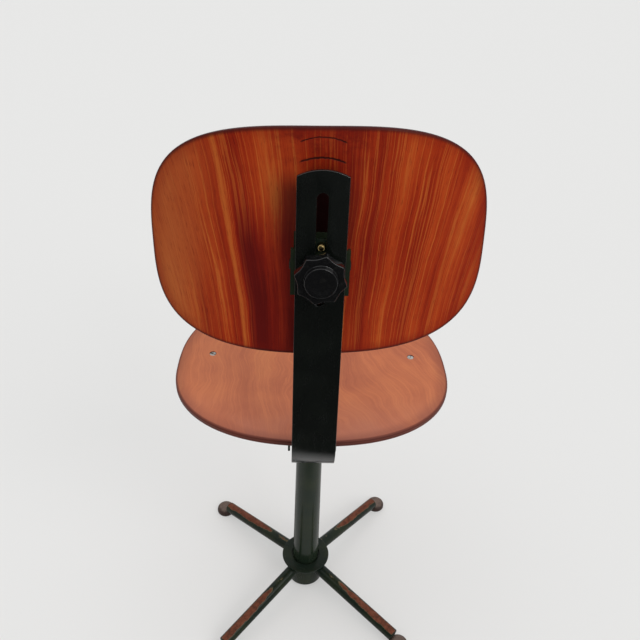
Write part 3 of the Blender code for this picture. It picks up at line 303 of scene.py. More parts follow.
    def relief(self, height: bpy.types.NodeSocket, depth: float) -> None:
        """Adds a pattern to the surface's relief.

        Args:
            height: a pattern from 0 to 1.
            depth: its height in metres.
        """
        self.heights.append((height, depth))

    def rubbed(self, radius: float, low: float = 0.04, high: float = 0.22) -> bpy.types.NodeSocket:
        """A mask of the piece's sharp edges, for wear.

        Args:
            radius: how far from an edge the mask reaches.
            low: turn of the rounded normal at which the mask starts.
            high: turn of the rounded normal at which it is full.

        Returns:
            The mask's socket.
        """
        rounded = self.node("ShaderNodeBevel")
        rounded.samples = 4
        rounded.inputs["Radius"].default_value = radius
        plain = self.node("ShaderNodeNewGeometry").outputs["Normal"]
        product = self.node("ShaderNodeVectorMath")
        product.operation = "DOT_PRODUCT"
        self.feed(product.inputs[0], rounded.outputs[0])
        self.feed(product.inputs[1], plain)
        return self.span(self.math("SUBTRACT", 1.0, product.outputs["Value"]), low, high)

    def finished(self, colour: Feed, roughness: Feed = None) -> bpy.types.Material:
        """Connects the colour, the roughness and the relief.

        Args:
            colour: the base colour.
            roughness: the roughness pattern, if it varies.

        Returns:
            The finished material.
        """
        self.feed(self.shader.inputs["Base Color"], colour)
        if roughness is not None:
            self.feed(self.shader.inputs["Roughness"], roughness)
        normal = None
        for height, depth in self.heights:
            bump = self.node("ShaderNodeBump")
            bump.inputs["Strength"].default_value = 1.0
            bump.inputs["Distance"].default_value = depth
            self.feed(bump.inputs["Height"], height)
            if normal:
                self.feed(bump.inputs["Normal"], normal)
            normal = bump.outputs[0]
        if normal:
            self.feed(self.shader.inputs["Normal"], normal)
        return self.material


# Finishes


@dataclass(frozen=True)
class Enamel:
    """Stoved gloss enamel on steel, with orange peel, dull smears and chipped edges."""

    name: str
    body: Colour = (0.0095, 0.0150, 0.0105)
    pale: Colour = (0.0180, 0.0245, 0.0125)
    bare: Colour = (0.090, 0.045, 0.026)
    gloss: float = 0.16
    dull: float = 0.34
    chips: float = 0.62  # noise above which an edge is chipped
    specular: float = 0.14

    def paint(self, recipe: Recipe) -> tuple[bpy.types.NodeSocket, bpy.types.NodeSocket]:
        """Mixes the paint before any wear.

        Args:
            recipe: the material in the making.

        Returns:
            The colour's and the roughness's sockets.
        """
        clouds = recipe.noise(22.0, 4.0)
        colour = recipe.mix(recipe.span(clouds, 0.35, 0.7), self.body, self.pale)
        smears = recipe.noise((160.0, 160.0, 45.0), 4.0, 0.65, shift=(3.0, 1.0, 7.0))
        roughness = recipe.span(smears, 0.40, 0.75, self.gloss, self.dull)
        recipe.relief(recipe.noise(650.0, 2.0), 0.00003)
        recipe.relief(recipe.noise(70.0, 2.0, shift=(5.0, 5.0, 5.0)), 0.00012)
        recipe.shader.inputs["Specular IOR Level"].default_value = self.specular
        return colour, roughness

    def chip(
        self, recipe: Recipe, colour: Feed, roughness: Feed, mask: bpy.types.NodeSocket
    ) -> bpy.types.Material:
        """Lays chips over the paint and closes the material.

        Args:
            recipe: the material in the making.
            colour: the paint's colour.
            roughness: the paint's roughness.
            mask: where the steel is bare.

        Returns:
            The finished material.
        """
        speckle = recipe.noise(900.0, 3.0, shift=(9.0, 2.0, 4.0))
        dark = tuple(channel * 0.45 for channel in self.bare)
        rust = recipe.ramp(speckle, (0.30, dark), (0.52, self.bare), (0.72, (0.16, 0.085, 0.05)))
        return recipe.finished(recipe.mix(mask, colour, rust), recipe.mix(mask, roughness, (0.7, 0.7, 0.7)))

    def build(self) -> bpy.types.Material:
        """Makes the enamel with its edges lightly chipped."""
        recipe = Recipe(self.name, self.gloss)
        colour, roughness = self.paint(recipe)
        grit = recipe.noise(420.0, 4.0, 0.7, shift=(1.0, 8.0, 3.0))
        spots = recipe.span(grit, self.chips, self.chips + 0.03)
        mask = recipe.math("MULTIPLY", recipe.rubbed(0.0012), spots)
        return self.chip(recipe, colour, roughness, mask)


@dataclass(frozen=True)
class WornEnamel(Enamel):
    """The legs' enamel, worn through to rusty steel along the top where shoes rub."""

    wear_start: float = 0.066  # distance from the column where the wear starts
    wear_full: float = 0.135
    narrow: float = 1.04  # upward part of the normal above which it is worn, where the wear starts
    wide: float = 0.79
    border: Colour = (0.105, 0.082, 0.044)

    def build(self) -> bpy.types.Material:
        """Makes the enamel with its worn, ragged strip and the thin pale border of the old coat."""
        recipe = Recipe(self.name, self.gloss)
        colour, roughness = self.paint(recipe)
        x = recipe.coordinate(Axis.X)
        y = recipe.coordinate(Axis.Y)
        squares = recipe.math("ADD", recipe.math("MULTIPLY", x, x), recipe.math("MULTIPLY", y, y))
        reach = recipe.span(recipe.math("SQRT", squares), self.wear_start, self.wear_full)
        ragged = recipe.noise(62.0, 3.0, 0.5, shift=(2.0, 4.0, 6.0))
        fine = recipe.noise(520.0, 3.0, 0.6, shift=(7.0, 1.0, 2.0))
        limit = recipe.math("ADD", self.narrow, recipe.math("MULTIPLY", reach, self.wide - self.narrow))
        level = recipe.math("SUBTRACT", recipe.upward(), limit)
        level = recipe.math("ADD", level, recipe.math("MULTIPLY", recipe.math("SUBTRACT", ragged, 0.5), 0.42))
        level = recipe.math("ADD", level, recipe.math("MULTIPLY", recipe.math("SUBTRACT", fine, 0.5), 0.13))
        edge = recipe.span(level, -0.030, -0.012)
        worn = recipe.span(level, 0.0, 0.020)
        rust_clouds = recipe.noise(150.0, 5.0, 0.7, shift=(4.0, 4.0, 1.0))
        rust = recipe.ramp(
            rust_clouds,
            (0.30, (0.045, 0.018, 0.010)),
            (0.48, (0.115, 0.034, 0.017)),
            (0.60, (0.155, 0.047, 0.024)),
            (0.78, (0.120, 0.066, 0.040)),
        )
        shown = recipe.mix(worn, recipe.mix(edge, colour, self.border), rust)
        recipe.relief(recipe.math("SUBTRACT", 1.0, worn), 0.00012)
        recipe.relief(recipe.math("MULTIPLY", worn, recipe.noise(700.0, 4.0, 0.7)), 0.00018)
        return recipe.finished(shown, recipe.mix(edge, roughness, (0.62, 0.62, 0.62)))


@dataclass(frozen=True)
class FootIron:
    """Rusty grey-brown steel discs, rubbed paler on top."""

    name: str
    rust: Colour = (0.036, 0.016, 0.010)
    worn: Colour = (0.165, 0.112, 0.088)

    def build(self) -> bpy.types.Material:
        """Makes the rusty steel."""
        recipe = Recipe(self.name, 0.6, 0.15)
        patches = recipe.noise(130.0, 5.0, 0.68)
        specks = recipe.noise(800.0, 3.0, 0.7, shift=(3.0, 3.0, 8.0))
        top = recipe.math("MULTIPLY", recipe.upward(), recipe.upward())
        level = recipe.math("ADD", recipe.math("MULTIPLY", top, 0.42), recipe.math("MULTIPLY", patches, 0.75))
        base = recipe.mix(recipe.span(level, 0.50, 0.90), self.rust, self.worn)
        colour = recipe.mix(recipe.span(specks, 0.52, 0.66, 0.0, 0.75), base, (0.035, 0.019, 0.013))
        recipe.relief(specks, 0.00015)
        recipe.relief(patches, 0.0003)
        return recipe.finished(colour, recipe.span(patches, 0.3, 0.7, 0.45, 0.75))


@dataclass(frozen=True)
class Metal:
    """Turned or drawn metal with fine tool marks, dull stains and brighter edges."""

    name: str
    clean: Colour
    stained: Colour
    smooth: float = 0.22
    stain_share: float = 0.55
    marks: Point = (60.0, 60.0, 2400.0)  # tool marks per metre, close along the piece's axis

    def build(self) -> bpy.types.Material:
        """Makes the metal."""
        recipe = Recipe(self.name, self.smooth, 1.0)
        stains = recipe.noise(110.0, 5.0, 0.65)
        lines = recipe.noise(self.marks, 2.0, shift=(5.0, 1.0, 2.0))
        tarnish = recipe.span(stains, self.stain_share - 0.12, self.stain_share + 0.12)
        colour = recipe.mix(tarnish, self.clean, self.stained)
        recipe.relief(lines, 0.00002)
        brushed = recipe.span(lines, 0.3, 0.7, self.smooth, self.smooth + 0.12)
        roughness = recipe.math("ADD", recipe.math("MULTIPLY", tarnish, 0.25), brushed)
        return recipe.finished(colour, roughness)


@dataclass(frozen=True)
class Moulded:
    """Black moulded resin: a hard gloss with fine scuffs and dust in the hollows."""

    name: str
    body: Colour = (0.0045, 0.0045, 0.0048)
    dusty: Colour = (0.014, 0.014, 0.013)

    def build(self) -> bpy.types.Material:
        """Makes the moulded black."""
        recipe = Recipe(self.name, 0.2)
        dust = recipe.span(recipe.noise(240.0, 5.0, 0.7), 0.50, 0.78)
        scuffs = recipe.noise((1500.0, 300.0, 300.0), 3.0, shift=(6.0, 2.0, 9.0))
        recipe.relief(recipe.noise(900.0, 2.0), 0.00001)
        recipe.relief(scuffs, 0.000012)
        colour = recipe.mix(dust, self.body, self.dusty)
        return recipe.finished(colour, recipe.span(scuffs, 0.35, 0.75, 0.07, 0.16))


@dataclass(frozen=True)
class BackVeneer:
    """Red-brown varnished veneer with upright grain, a dark heart that is partly a painted shadow of the arm,
    golden growth lines, and painted shadow round and behind the arm.
    """

    name: str
    centre_height: float
    dark: Colour = (0.105, 0.0040, 0.0025)
    deep: Colour = (0.185, 0.0080, 0.0022)
    middle: Colour = (0.300, 0.0240, 0.0035)
    light: Colour = (0.385, 0.0460, 0.0065)
    golden: Colour = (0.450, 0.1000, 0.0160)
    faded: Colour = (0.380, 0.0950, 0.0240)
    rim: Colour = (0.030, 0.0045, 0.0040)
    fan: float = 1.3  # how much the grain spreads with height, per metre
    heart_and_shadow_side: float = 0.052  # middle of the dark heart and its painted arm shadow, towards the sitter's left
    heart_and_shadow_width: float = 0.040
    ribbon_side: float = 0.098  # the bright growth line beside the heart
    # painted shadow: the near-black strip of veneer behind the arm
    shadow_behind_arm: Colour = (0.0110, 0.0013, 0.0013)
    # painted shadow of the arm, cast on the veneer beside it
    arm_shadow_brown: Colour = (0.050, 0.0030, 0.0030)
    scar_low: float = 0.1125  # rub marks of the arm's end above the centre
    scar_high: float = 0.1335
    scar_crown: float = 9.0  # bend of the marks, per metre
    scar_side: float = 0.022

    def scar(self, recipe: Recipe, height: float, thick: float) -> bpy.types.NodeSocket:
        """A bowed rub mark as wide as the arm's end.

        Args:
            recipe: the material in the making.
            height: how far above the centre it lies.
            thick: half its thickness.

        Returns:
            The mark's mask.
        """
        x = recipe.coordinate(Axis.X)
        z = recipe.coordinate(Axis.Z)
        bow = recipe.math("MULTIPLY", recipe.math("MULTIPLY", x, x), self.scar_crown)
        above = recipe.math("SUBTRACT", recipe.math("ADD", z, bow), self.centre_height + height)
        wobble = recipe.math("MULTIPLY", recipe.math("SUBTRACT", recipe.noise(260.0, 3.0), 0.5), 0.0018)
        off = recipe.math("ABSOLUTE", recipe.math("ADD", above, wobble))
        line = recipe.span(off, thick * 0.4, thick, 1.0, 0.0)
        ends = recipe.span(recipe.math("ABSOLUTE", x), self.scar_side, self.scar_side + 0.004, 1.0, 0.0)
        return recipe.math("MULTIPLY", line, ends)

    def build(self) -> bpy.types.Material:
        """Makes the backrest's veneer."""
        recipe = Recipe(self.name, 0.33)
        x = recipe.coordinate(Axis.X)
        z = recipe.math("SUBTRACT", recipe.coordinate(Axis.Z), self.centre_height)
        narrowing = recipe.math("SUBTRACT", 1.0, recipe.math("MULTIPLY", z, self.fan))
        drift = recipe.math("MULTIPLY", recipe.math("SUBTRACT", recipe.noise(7.0, 2.0, 0.4), 0.5), 0.016)
        swing = recipe.math("SUBTRACT", recipe.noise((50.0, 50.0, 14.0), 3.0), 0.5)
        wave = recipe.math("MULTIPLY", swing, 0.0028)
        across = recipe.math("ADD", recipe.math("ADD", recipe.math("MULTIPLY", x, narrowing), drift), wave)
        grain = recipe.vector(across, 0.0, z)

        bands = recipe.noise((30.0, 1.0, 1.2), 2.0, 0.5, grain)
        lines = recipe.noise((120.0, 1.0, 1.0), 2.0, 0.5, grain, (7.0, 0.0, 3.0))
        fibres = recipe.noise((1100.0, 1.0, 22.0), 3.0, 0.6, grain, (2.0, 0.0, 5.0))
        pores = recipe.noise((1700.0, 1.0, 70.0), 2.0, 0.5, grain, (4.0, 0.0, 1.0))
        clouds = recipe.noise((11.0, 11.0, 5.0), 3.0, 0.5, shift=(1.0, 2.0, 8.0))

        # The dark heart along the grain, which also stands as a painted shadow of the arm falling towards the
        # sitter's left.
        side = recipe.math("DIVIDE", recipe.math("SUBTRACT", across, self.heart_and_shadow_side), self.heart_and_shadow_width)
        side = recipe.math("MULTIPLY", side, side)
        heart_and_shadow = recipe.span(recipe.math("MULTIPLY", side, side), 0.2, 1.3, 1.0, 0.0)
        heart_and_shadow = recipe.math("MULTIPLY", heart_and_shadow, recipe.span(z, 0.075, 0.0, 0.0, 1.0))

        threads = recipe.noise((380.0, 1.0, 9.0), 3.0, 0.6, grain, (5.0, 0.0, 9.0))
        tone = recipe.math("ADD", recipe.math("MULTIPLY", bands, 1.0), recipe.math("MULTIPLY", clouds, 0.5))
        tone = recipe.math("SUBTRACT", tone, recipe.math("ADD", recipe.math("MULTIPLY", heart_and_shadow, 0.27), 0.065))
        tone = recipe.math("ADD", tone, recipe.math("MULTIPLY", recipe.math("SUBTRACT", threads, 0.5), 0.38))
        far_side = recipe.math("MULTIPLY", recipe.span(recipe.math("ABSOLUTE", x), 0.07, 0.19), 0.10)
        tone = recipe.math("ADD", tone, far_side)
        tone = recipe.math("ADD", tone, recipe.math("MULTIPLY", recipe.math("SUBTRACT", fibres, 0.5), 0.24))
        colour = recipe.ramp(
            tone,
            (0.34, self.dark),
            (0.52, self.deep),
            (0.70, self.middle),
            (0.86, self.light),
            (1.0, self.golden),
        )

        sharp = recipe.math("ABSOLUTE", recipe.math("SUBTRACT", lines, 0.52))
        golden = recipe.span(sharp, 0.004, 0.024, 1.0, 0.0)
        golden = recipe.math("MULTIPLY", golden, recipe.span(bands, 0.35, 0.60, 0.3, 0.8))
        beside = recipe.math("ABSOLUTE", recipe.math("SUBTRACT", across, self.ribbon_side))
        ribbon = recipe.math("MULTIPLY", recipe.span(beside, 0.0005, 0.0042, 1.0, 0.0), 0.85)
        golden = recipe.math("MAXIMUM", golden, ribbon)
        golden = recipe.math("MULTIPLY", golden, recipe.math("SUBTRACT", 1.0, heart_and_shadow))
        colour = recipe.mix(golden, colour, self.golden)
        patchy = recipe.span(clouds, 0.3, 0.6, 0.3, 1.0)
        pale_end = recipe.math("MULTIPLY", recipe.span(x, 0.095, 0.180, 0.0, 0.75), patchy)
        colour = recipe.mix(pale_end, colour, self.faded)
        colour = recipe.mix(recipe.span(pores, 0.56, 0.70, 0.0, 0.55), colour, self.dark)

        low_mark = self.scar(recipe, self.scar_low, 0.0014)
        marks = recipe.math("MAXIMUM", low_mark, self.scar(recipe, self.scar_high, 0.0010))
        stain = recipe.noise((45.0, 45.0, 60.0), 4.0, 0.7, shift=(3.0, 3.0, 3.0))
        near_middle = recipe.span(recipe.math("ABSOLUTE", x), 0.02, 0.075, 1.0, 0.0)
        above = recipe.math("MULTIPLY", recipe.span(z, 0.085, 0.135), near_middle)
        soiled = recipe.math("MULTIPLY", above, recipe.span(stain, 0.40, 0.66, 0.15, 0.8))
        colour = recipe.mix(soiled, colour, self.dark)
        colour = recipe.mix(recipe.math("MULTIPLY", marks, 0.9), colour, (0.014, 0.003, 0.003))
        # Painted shadow of the arm: a soft dark brown band round its upper part, a little towards the sitter's
        # left.
        aside = recipe.math("ABSOLUTE", recipe.math("SUBTRACT", x, 0.008))
        arm_shadow = recipe.span(aside, 0.020, 0.060, 0.75, 0.0)
        arm_shadow = recipe.math("MULTIPLY", arm_shadow, recipe.span(z, 0.070, 0.110, 1.0, 0.0))
        arm_shadow = recipe.math("MULTIPLY", arm_shadow, recipe.span(z, -0.02, 0.04))
        colour = recipe.mix(arm_shadow, colour, self.arm_shadow_brown)
        # Painted shadow: nearly black in a narrow strip behind the arm, where the board lies in the arm's
        # shade; it shows on the sitter's face too.
        shaded = recipe.span(recipe.math("ABSOLUTE", x), 0.010, 0.024, 1.0, 0.0)
        shaded = recipe.math("MULTIPLY", shaded, recipe.span(z, 0.080, 0.112, 1.0, 0.0))
        shaded = recipe.math("MULTIPLY", shaded, recipe.span(stain, 0.60, 0.72, 1.0, 0.9))
        colour = recipe.mix(shaded, colour, self.shadow_behind_arm)

        depth, inward = recipe.sheet(BoardShell.layer)
        edge = recipe.span(inward, 0.010, 0.060, 1.0, 0.0)
        shade = recipe.span(inward, 0.02, 0.16, 0.55, 0.0)
        colour = recipe.mix(recipe.math("MULTIPLY", shade, recipe.span(clouds, 0.3, 0.6)), colour, self.deep)
        plies = recipe.math("SINE", recipe.math("MULTIPLY", depth, math.tau * 2.5))
        pale_ply = tuple(1.7 * channel for channel in self.rim)
        layers = recipe.mix(recipe.span(plies, -0.4, 0.4), self.rim, pale_ply)
        colour = recipe.mix(recipe.math("MULTIPLY", edge, 0.92), colour, layers)

        recipe.relief(fibres, 0.00004)
        recipe.relief(recipe.math("SUBTRACT", 1.0, recipe.span(pores, 0.56, 0.70)), 0.00004)
        recipe.relief(recipe.math("SUBTRACT", 1.0, marks), 0.0003)
        dulled = recipe.math("MULTIPLY", marks, 0.3)
        roughness = recipe.math("ADD", recipe.span(clouds, 0.3, 0.7, 0.34, 0.46), dulled)
        recipe.shader.inputs["Specular IOR Level"].default_value = 0.08
        return recipe.finished(colour, roughness)


@dataclass(frozen=True)
class SeatVeneer:
    """Worn pinkish brown veneer with fine wavy grain running from front to rear, dusty towards the rear with a
    painted sheen there.
    """

    name: str
    dark: Colour = (0.290, 0.073, 0.040)
    middle: Colour = (0.430, 0.122, 0.056)
    light: Colour = (0.540, 0.165, 0.070)
    pale: Colour = (0.620, 0.220, 0.085)
    # the dusty tone, partly dust and partly a painted sheen
    dusty: Colour = (0.400, 0.140, 0.092)
    rim: Colour = (0.070, 0.013, 0.009)
    rim_shade: Colour = (0.170, 0.045, 0.034)
    pale_ply: Colour = (0.110, 0.024, 0.016)
    slant: float = 0.55  # how far the grain leans on the sitter's right

    def build(self) -> bpy.types.Material:
        """Makes the seat's veneer."""
        recipe = Recipe(self.name, 0.45)
        x = recipe.coordinate(Axis.X)
        y = recipe.coordinate(Axis.Y)
        lean = recipe.span(x, -0.16, 0.02, self.slant, 0.0)
        bend = recipe.math("MULTIPLY", recipe.math("SUBTRACT", recipe.noise(9.0, 2.0, 0.45), 0.5), 0.075)
        drift = recipe.math("SUBTRACT", recipe.noise((60.0, 95.0, 60.0), 3.0), 0.5)
        ripple = recipe.math("MULTIPLY", drift, 0.0040)
        across = recipe.math("ADD", recipe.math("ADD", x, recipe.math("MULTIPLY", lean, y)), bend)
        across = recipe.math("ADD", across, ripple)
        grain = recipe.vector(across, y, 0.0)

        bands = recipe.noise((26.0, 2.2, 1.0), 3.0, 0.5, grain)
        lines = recipe.noise((330.0, 8.0, 1.0), 2.0, 0.55, grain, (3.0, 1.0, 0.0))
        fibres = recipe.noise((1300.0, 45.0, 1.0), 3.0, 0.6, grain, (8.0, 2.0, 0.0))
        clouds = recipe.noise(14.0, 4.0, 0.55, shift=(2.0, 7.0, 1.0))
        warm_side = recipe.math("MULTIPLY", recipe.span(x, -0.03, 0.15), recipe.span(y, 0.13, 0.0))

        tone = recipe.math("ADD", recipe.math("MULTIPLY", bands, 0.45), recipe.math("MULTIPLY", clouds, 0.40))
        tone = recipe.math("ADD", tone, recipe.math("MULTIPLY", lines, 0.24))
        tone = recipe.math("ADD", tone, recipe.math("MULTIPLY", recipe.math("SUBTRACT", fibres, 0.5), 0.20))
        tone = recipe.math("ADD", recipe.math("ADD", tone, 0.05), recipe.math("MULTIPLY", warm_side, 0.07))
        steps = ((0.34, self.dark), (0.52, self.middle), (0.66, self.light), (0.86, self.pale))
        colour = recipe.ramp(tone, *steps)
        off_seam = recipe.math("ABSOLUTE", recipe.math("SUBTRACT", lines, 0.5))
        seams = recipe.span(off_seam, 0.004, 0.05, 0.16, 0.0)
        colour = recipe.mix(seams, colour, self.dark)
        # Paler, bluer tone towards the rear: partly real dust, partly a painted sheen.
        dust = recipe.math("MULTIPLY", recipe.span(y, 0.03, 0.13), recipe.span(clouds, 0.35, 0.7, 0.15, 0.75))
        colour = recipe.mix(dust, colour, self.dusty)

        depth, inward = recipe.sheet(BoardShell.layer)
        near_rim = recipe.span(inward, 0.03, 0.19, 0.45, 0.0)
        shade = recipe.math("MULTIPLY", near_rim, recipe.span(clouds, 0.28, 0.6, 0.4, 1.0))
        colour = recipe.mix(shade, colour, self.rim_shade)
        edge = recipe.span(inward, 0.012, 0.045, 1.0, 0.0)
        plies = recipe.math("SINE", recipe.math("MULTIPLY", depth, math.tau * 3.0))
        layers = recipe.mix(recipe.span(plies, -0.3, 0.3), self.rim, self.pale_ply)
        colour = recipe.mix(recipe.math("MULTIPLY", edge, 0.9), colour, layers)

        recipe.relief(fibres, 0.00005)
        recipe.relief(lines, 0.00006)
        recipe.shader.inputs["Specular IOR Level"].default_value = 0.2
        return recipe.finished(colour, recipe.span(clouds, 0.3, 0.7, 0.40, 0.56))


@dataclass(frozen=True)
class PlainBeech:
    """Unfinished beech with short flecks, for the packing blocks."""

    name: str
    base: Colour = (0.43, 0.26, 0.14)
    fleck: Colour = (0.26, 0.13, 0.06)

    def build(self) -> bpy.types.Material:
        """Makes the beech."""
        recipe = Recipe(self.name, 0.6)
        flecks = recipe.noise((60.0, 900.0, 900.0), 2.0)
        bands = recipe.noise((9.0, 160.0, 160.0), 3.0, shift=(1.0, 5.0, 2.0))
        colour = recipe.mix(recipe.span(flecks, 0.56, 0.66, 0.0, 0.8), self.base, self.fleck)
        colour = recipe.mix(recipe.span(bands, 0.4, 0.7, 0.0, 0.45), colour, (0.33, 0.18, 0.09))
        recipe.relief(flecks, 0.00006)
        return recipe.finished(colour, recipe.span(bands, 0.3, 0.7, 0.5, 0.7))


class Finishes:
    """Every finish of the chair, made once and handed out by name."""

    def __init__(self, back_centre: float) -> None:
        """Makes the finishes.

        Args:
            back_centre: height of the backrest's pivot, on which its veneer is centred.
        """
        self.green = Enamel("gloss_green_enamel").build()
        self.column = Enamel(
            "column_green_enamel", body=(0.0115, 0.0190, 0.0115), gloss=0.13, dull=0.26, specular=0.22
        ).build()
        self.black = Enamel(
            "satin_black_enamel",
            body=(0.0030, 0.0040, 0.0032),
            pale=(0.0045, 0.0060, 0.0046),
            gloss=0.20,
            dull=0.30,
            chips=0.66,
            specular=0.55,
        ).build()
        self.leg = WornEnamel("worn_leg_enamel").build()
        self.foot = FootIron("rusty_foot_steel").build()
        self.steel = Metal("turned_steel", (0.50, 0.49, 0.47), (0.20, 0.16, 0.13)).build()
        self.blackened = Metal("blackened_steel", (0.030, 0.036, 0.030), (0.016, 0.015, 0.013), 0.35).build()
        self.bronze = Metal("bearing_bronze", (0.46, 0.27, 0.13), (0.22, 0.13, 0.07), 0.3).build()
        self.brass = Metal("polished_brass", (0.48, 0.36, 0.15), (0.20, 0.14, 0.06), 0.10, 0.60).build()
        self.bakelite = Moulded("black_moulding").build()
        self.back = BackVeneer("backrest_veneer", back_centre).build()
        self.seat = SeatVeneer("seat_veneer").build()
        self.beech = PlainBeech("plain_beech").build()
        self.by_slot = {
            Slot.GREEN: self.green,
            Slot.BLACK: self.black,
            Slot.FOOT: self.foot,
            Slot.STEEL: self.steel,
            Slot.BRONZE: self.bronze,
            Slot.BRASS: self.brass,
            Slot.BAKELITE: self.bakelite,
            Slot.BACK: self.back,
            Slot.SEAT: self.seat,
            Slot.BEECH: self.beech,
        }

    def dress_nodes(self) -> None:
        """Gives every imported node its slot's finish. Pieces that stand for a node are added later."""
        slots = {entry["node"]: Slot(entry["material_slot"]) for entry in frame["record"]["subparts"]}
        for name, node in sorted(frame["nodes"].items()):
            node.data.materials.clear()
            dark = name == "hinge_pin"
            node.data.materials.append(self.blackened if dark else self.by_slot[slots[name]])
            LOG.info("finish %s on %s", slots[name].value, name)


# Helpers for meshes


@dataclass(frozen=True)
class Fitting:
    """Where a finished piece belongs: its body, its slot and the nodes that it stands for."""

    body: str
    slot: Slot
    stands_for: tuple[str, ...] = ()

    def settle(self, piece: bpy.types.Object, material: bpy.types.Material) -> bpy.types.Object:
        """Dresses a piece and hangs it on its body.

        Args:
            piece: the finished piece, at the origin.
            material: its finish.

        Returns:
            The piece.
        """
        piece.data.materials.clear()
        piece.data.materials.append(material)
        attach(piece, self.body)
        if self.stands_for:
            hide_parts(*self.stands_for)
        LOG.info("piece %s on %s, %d faces", piece.name, self.body, len(piece.data.polygons))
        return piece


def body_of_node(node: str) -> str:
    """The body that the record puts a node on."""
    return next(body for body, nodes in frame["record"]["behaviour"]["bodies"].items() if node in nodes)


def linked(name: str, mesh: bpy.types.Mesh) -> bpy.types.Object:
    """Makes an object of a mesh and links it to the scene."""
    piece = bpy.data.objects.new(name, mesh)
    bpy.context.scene.collection.objects.link(piece)
    return piece


def smoothed(name: str, bm: bmesh.types.BMesh) -> bpy.types.Object:
    """Turns a closed bmesh into a smooth-shaded piece, and frees it.

    Args:
        name: the piece's name.
        bm: the shape.

    Returns:
        The piece.
    """
    bmesh.ops.recalc_face_normals(bm, faces=bm.faces)
    mesh = bpy.data.meshes.new(name)
    bm.to_mesh(mesh)
    bm.free()
    mesh.shade_smooth()
    return linked(name, mesh)


def meshed(name: str, bm: bmesh.types.BMesh, sharp_above: float = 35.0) -> bpy.types.Object:
    """Turns a closed bmesh into a smooth-shaded piece.

    Args:
        name: the piece's name.
        bm: the shape, which is freed.
        sharp_above: edges that turn more than this many degrees stay sharp.

    Returns:
        The piece.
    """
    bmesh.ops.remove_doubles(bm, verts=bm.verts, dist=MERGE)
    piece = smoothed(name, bm)
    piece.data.set_sharp_from_angle(angle=math.radians(sharp_above))
    return piece


def applied(piece: bpy.types.Object) -> bpy.types.Object:
    """Turns a piece with its modifiers into a plain mesh at the same name.

    Args:
        piece: a mesh or curve with live modifiers.

    Returns:
        The plain piece. A curve's object is replaced by a mesh's.
    """
    graph = bpy.context.evaluated_depsgraph_get()
    mesh = bpy.data.meshes.new_from_object(piece.evaluated_get(graph), depsgraph=graph)
    name = piece.name
    if piece.type == "MESH":
        piece.modifiers.clear()
        piece.data = mesh
        mesh.name = name
        return piece
    bpy.data.objects.remove(piece)
    mesh.name = name
    return linked(name, mesh)


def cut_away(piece: bpy.types.Object, cutters: Sequence[bpy.types.Object]) -> bpy.types.Object:
    """Cuts helper shapes out of a piece and removes the helpers.

    Args:
        piece: the piece.
        cutters: closed helper shapes.

    Returns:
        The piece, with its edges shaded again.
    """
    for cutter in cutters:
        hole = piece.modifiers.new(cutter.name, "BOOLEAN")
        hole.operation = "DIFFERENCE"
        hole.solver = "EXACT"
        hole.object = cutter
    applied(piece)
    for cutter in cutters:
        bpy.data.objects.remove(cutter)
    piece.data.shade_smooth()
    piece.data.set_sharp_from_angle(angle=math.radians(35.0))
    return piece


def filleted(corners: Sequence[tuple[float, float, float]], steps: int = 4) -> list[tuple[float, float]]:
    """Rounds the corners of an open profile.

    Args:
        corners: points of (radius, height, fillet), where a fillet of 0 keeps the corner.
        steps: facets in each rounded corner.

    Returns:
        The profile's points of (radius, height).
    """
    points = []
    for number, (radius, height, fillet) in enumerate(corners):
        here = Vector((radius, height))
        if fillet == 0.0 or number in (0, len(corners) - 1):
            points.append((radius, height))
            continue
        before = (Vector(corners[number - 1][:2]) - here).normalized()
        after = (Vector(corners[number + 1][:2]) - here).normalized()
        half = before.angle(after) / 2
        back = fillet / math.tan(half)
        start, end = here + before * back, here + after * back
        centre = here + (before + after).normalized() * (fillet / math.sin(half))
        turn_start, turn_end = start - centre, end - centre
        sweep = turn_start.angle_signed(turn_end)
        for step in range(steps + 1):
            angle = -sweep * step / steps
            spoke = Matrix.Rotation(angle, 2) @ turn_start
            points.append(tuple(centre + spoke))
    return points


def band_corners(lower: Sequence, upper: Sequence, first: int, after: int) -> list[bmesh.types.BMVert]:
    """The corners of one face between two rings, either of which may be a single point.

    Args:
        lower: the first ring's points.
        upper: the next ring's points.
        first: number of the face's first spoke.
        after: number of the spoke after it.

    Returns:
        The three or four points, each once.
    """
    corners = [lower[k % len(lower)] for k in (first, after)]
    corners += [upper[k % len(upper)] for k in (after, first)]
    return list(dict.fromkeys(corners))


def turned(name: str, profile: Sequence[tuple[float, float]], steps: int = 96, closed: bool = False):
    """A lathe piece about Z.

    Args:
        name: the piece's name.
        profile: points of (radius, height), from the axis to the axis, or a ring's section where closed.
        steps: facets round the piece.
        closed: whether the section closes on itself.

    Returns:
        The piece.
    """
    bm = bmesh.new()
    rings = []
    for radius, height in profile:
        if radius < MERGE:
            rings.append([bm.verts.new((0.0, 0.0, height))])
            continue
        spokes = [math.tau * k / steps for k in range(steps)]
        rings.append([bm.verts.new((radius * math.cos(a), radius * math.sin(a), height)) for a in spokes])
    pairs = list(zip(rings, rings[1:]))
    if closed:
        pairs.append((rings[-1], rings[0]))
    for lower, upper in pairs:
        for k in range(steps):
            kept = band_corners(lower, upper, k, (k + 1) % steps)
            if len(kept) > 2:
                bm.faces.new(kept)
    return meshed(name, bm)


def placed(piece: bpy.types.Object, matrix: Matrix) -> bpy.types.Object:
    """Moves a piece's mesh, so that its object stays at the origin."""
    piece.data.transform(matrix)
    return piece


def facing(place: Sequence[float], direction: Sequence[float], spin: float = 0.0) -> Matrix:
    """A matrix that puts a piece made along Z at a place, along a direction.

    Args:
        place: where its origin goes.
        direction: where its Z axis points.
        spin: turn about its own axis, in radians.

    Returns:
        The matrix.
    """
    turn = Vector(direction).to_track_quat("Z", "Y").to_matrix().to_4x4()
    return Matrix.Translation(place) @ turn @ Matrix.Rotation(spin, 4, "Z")


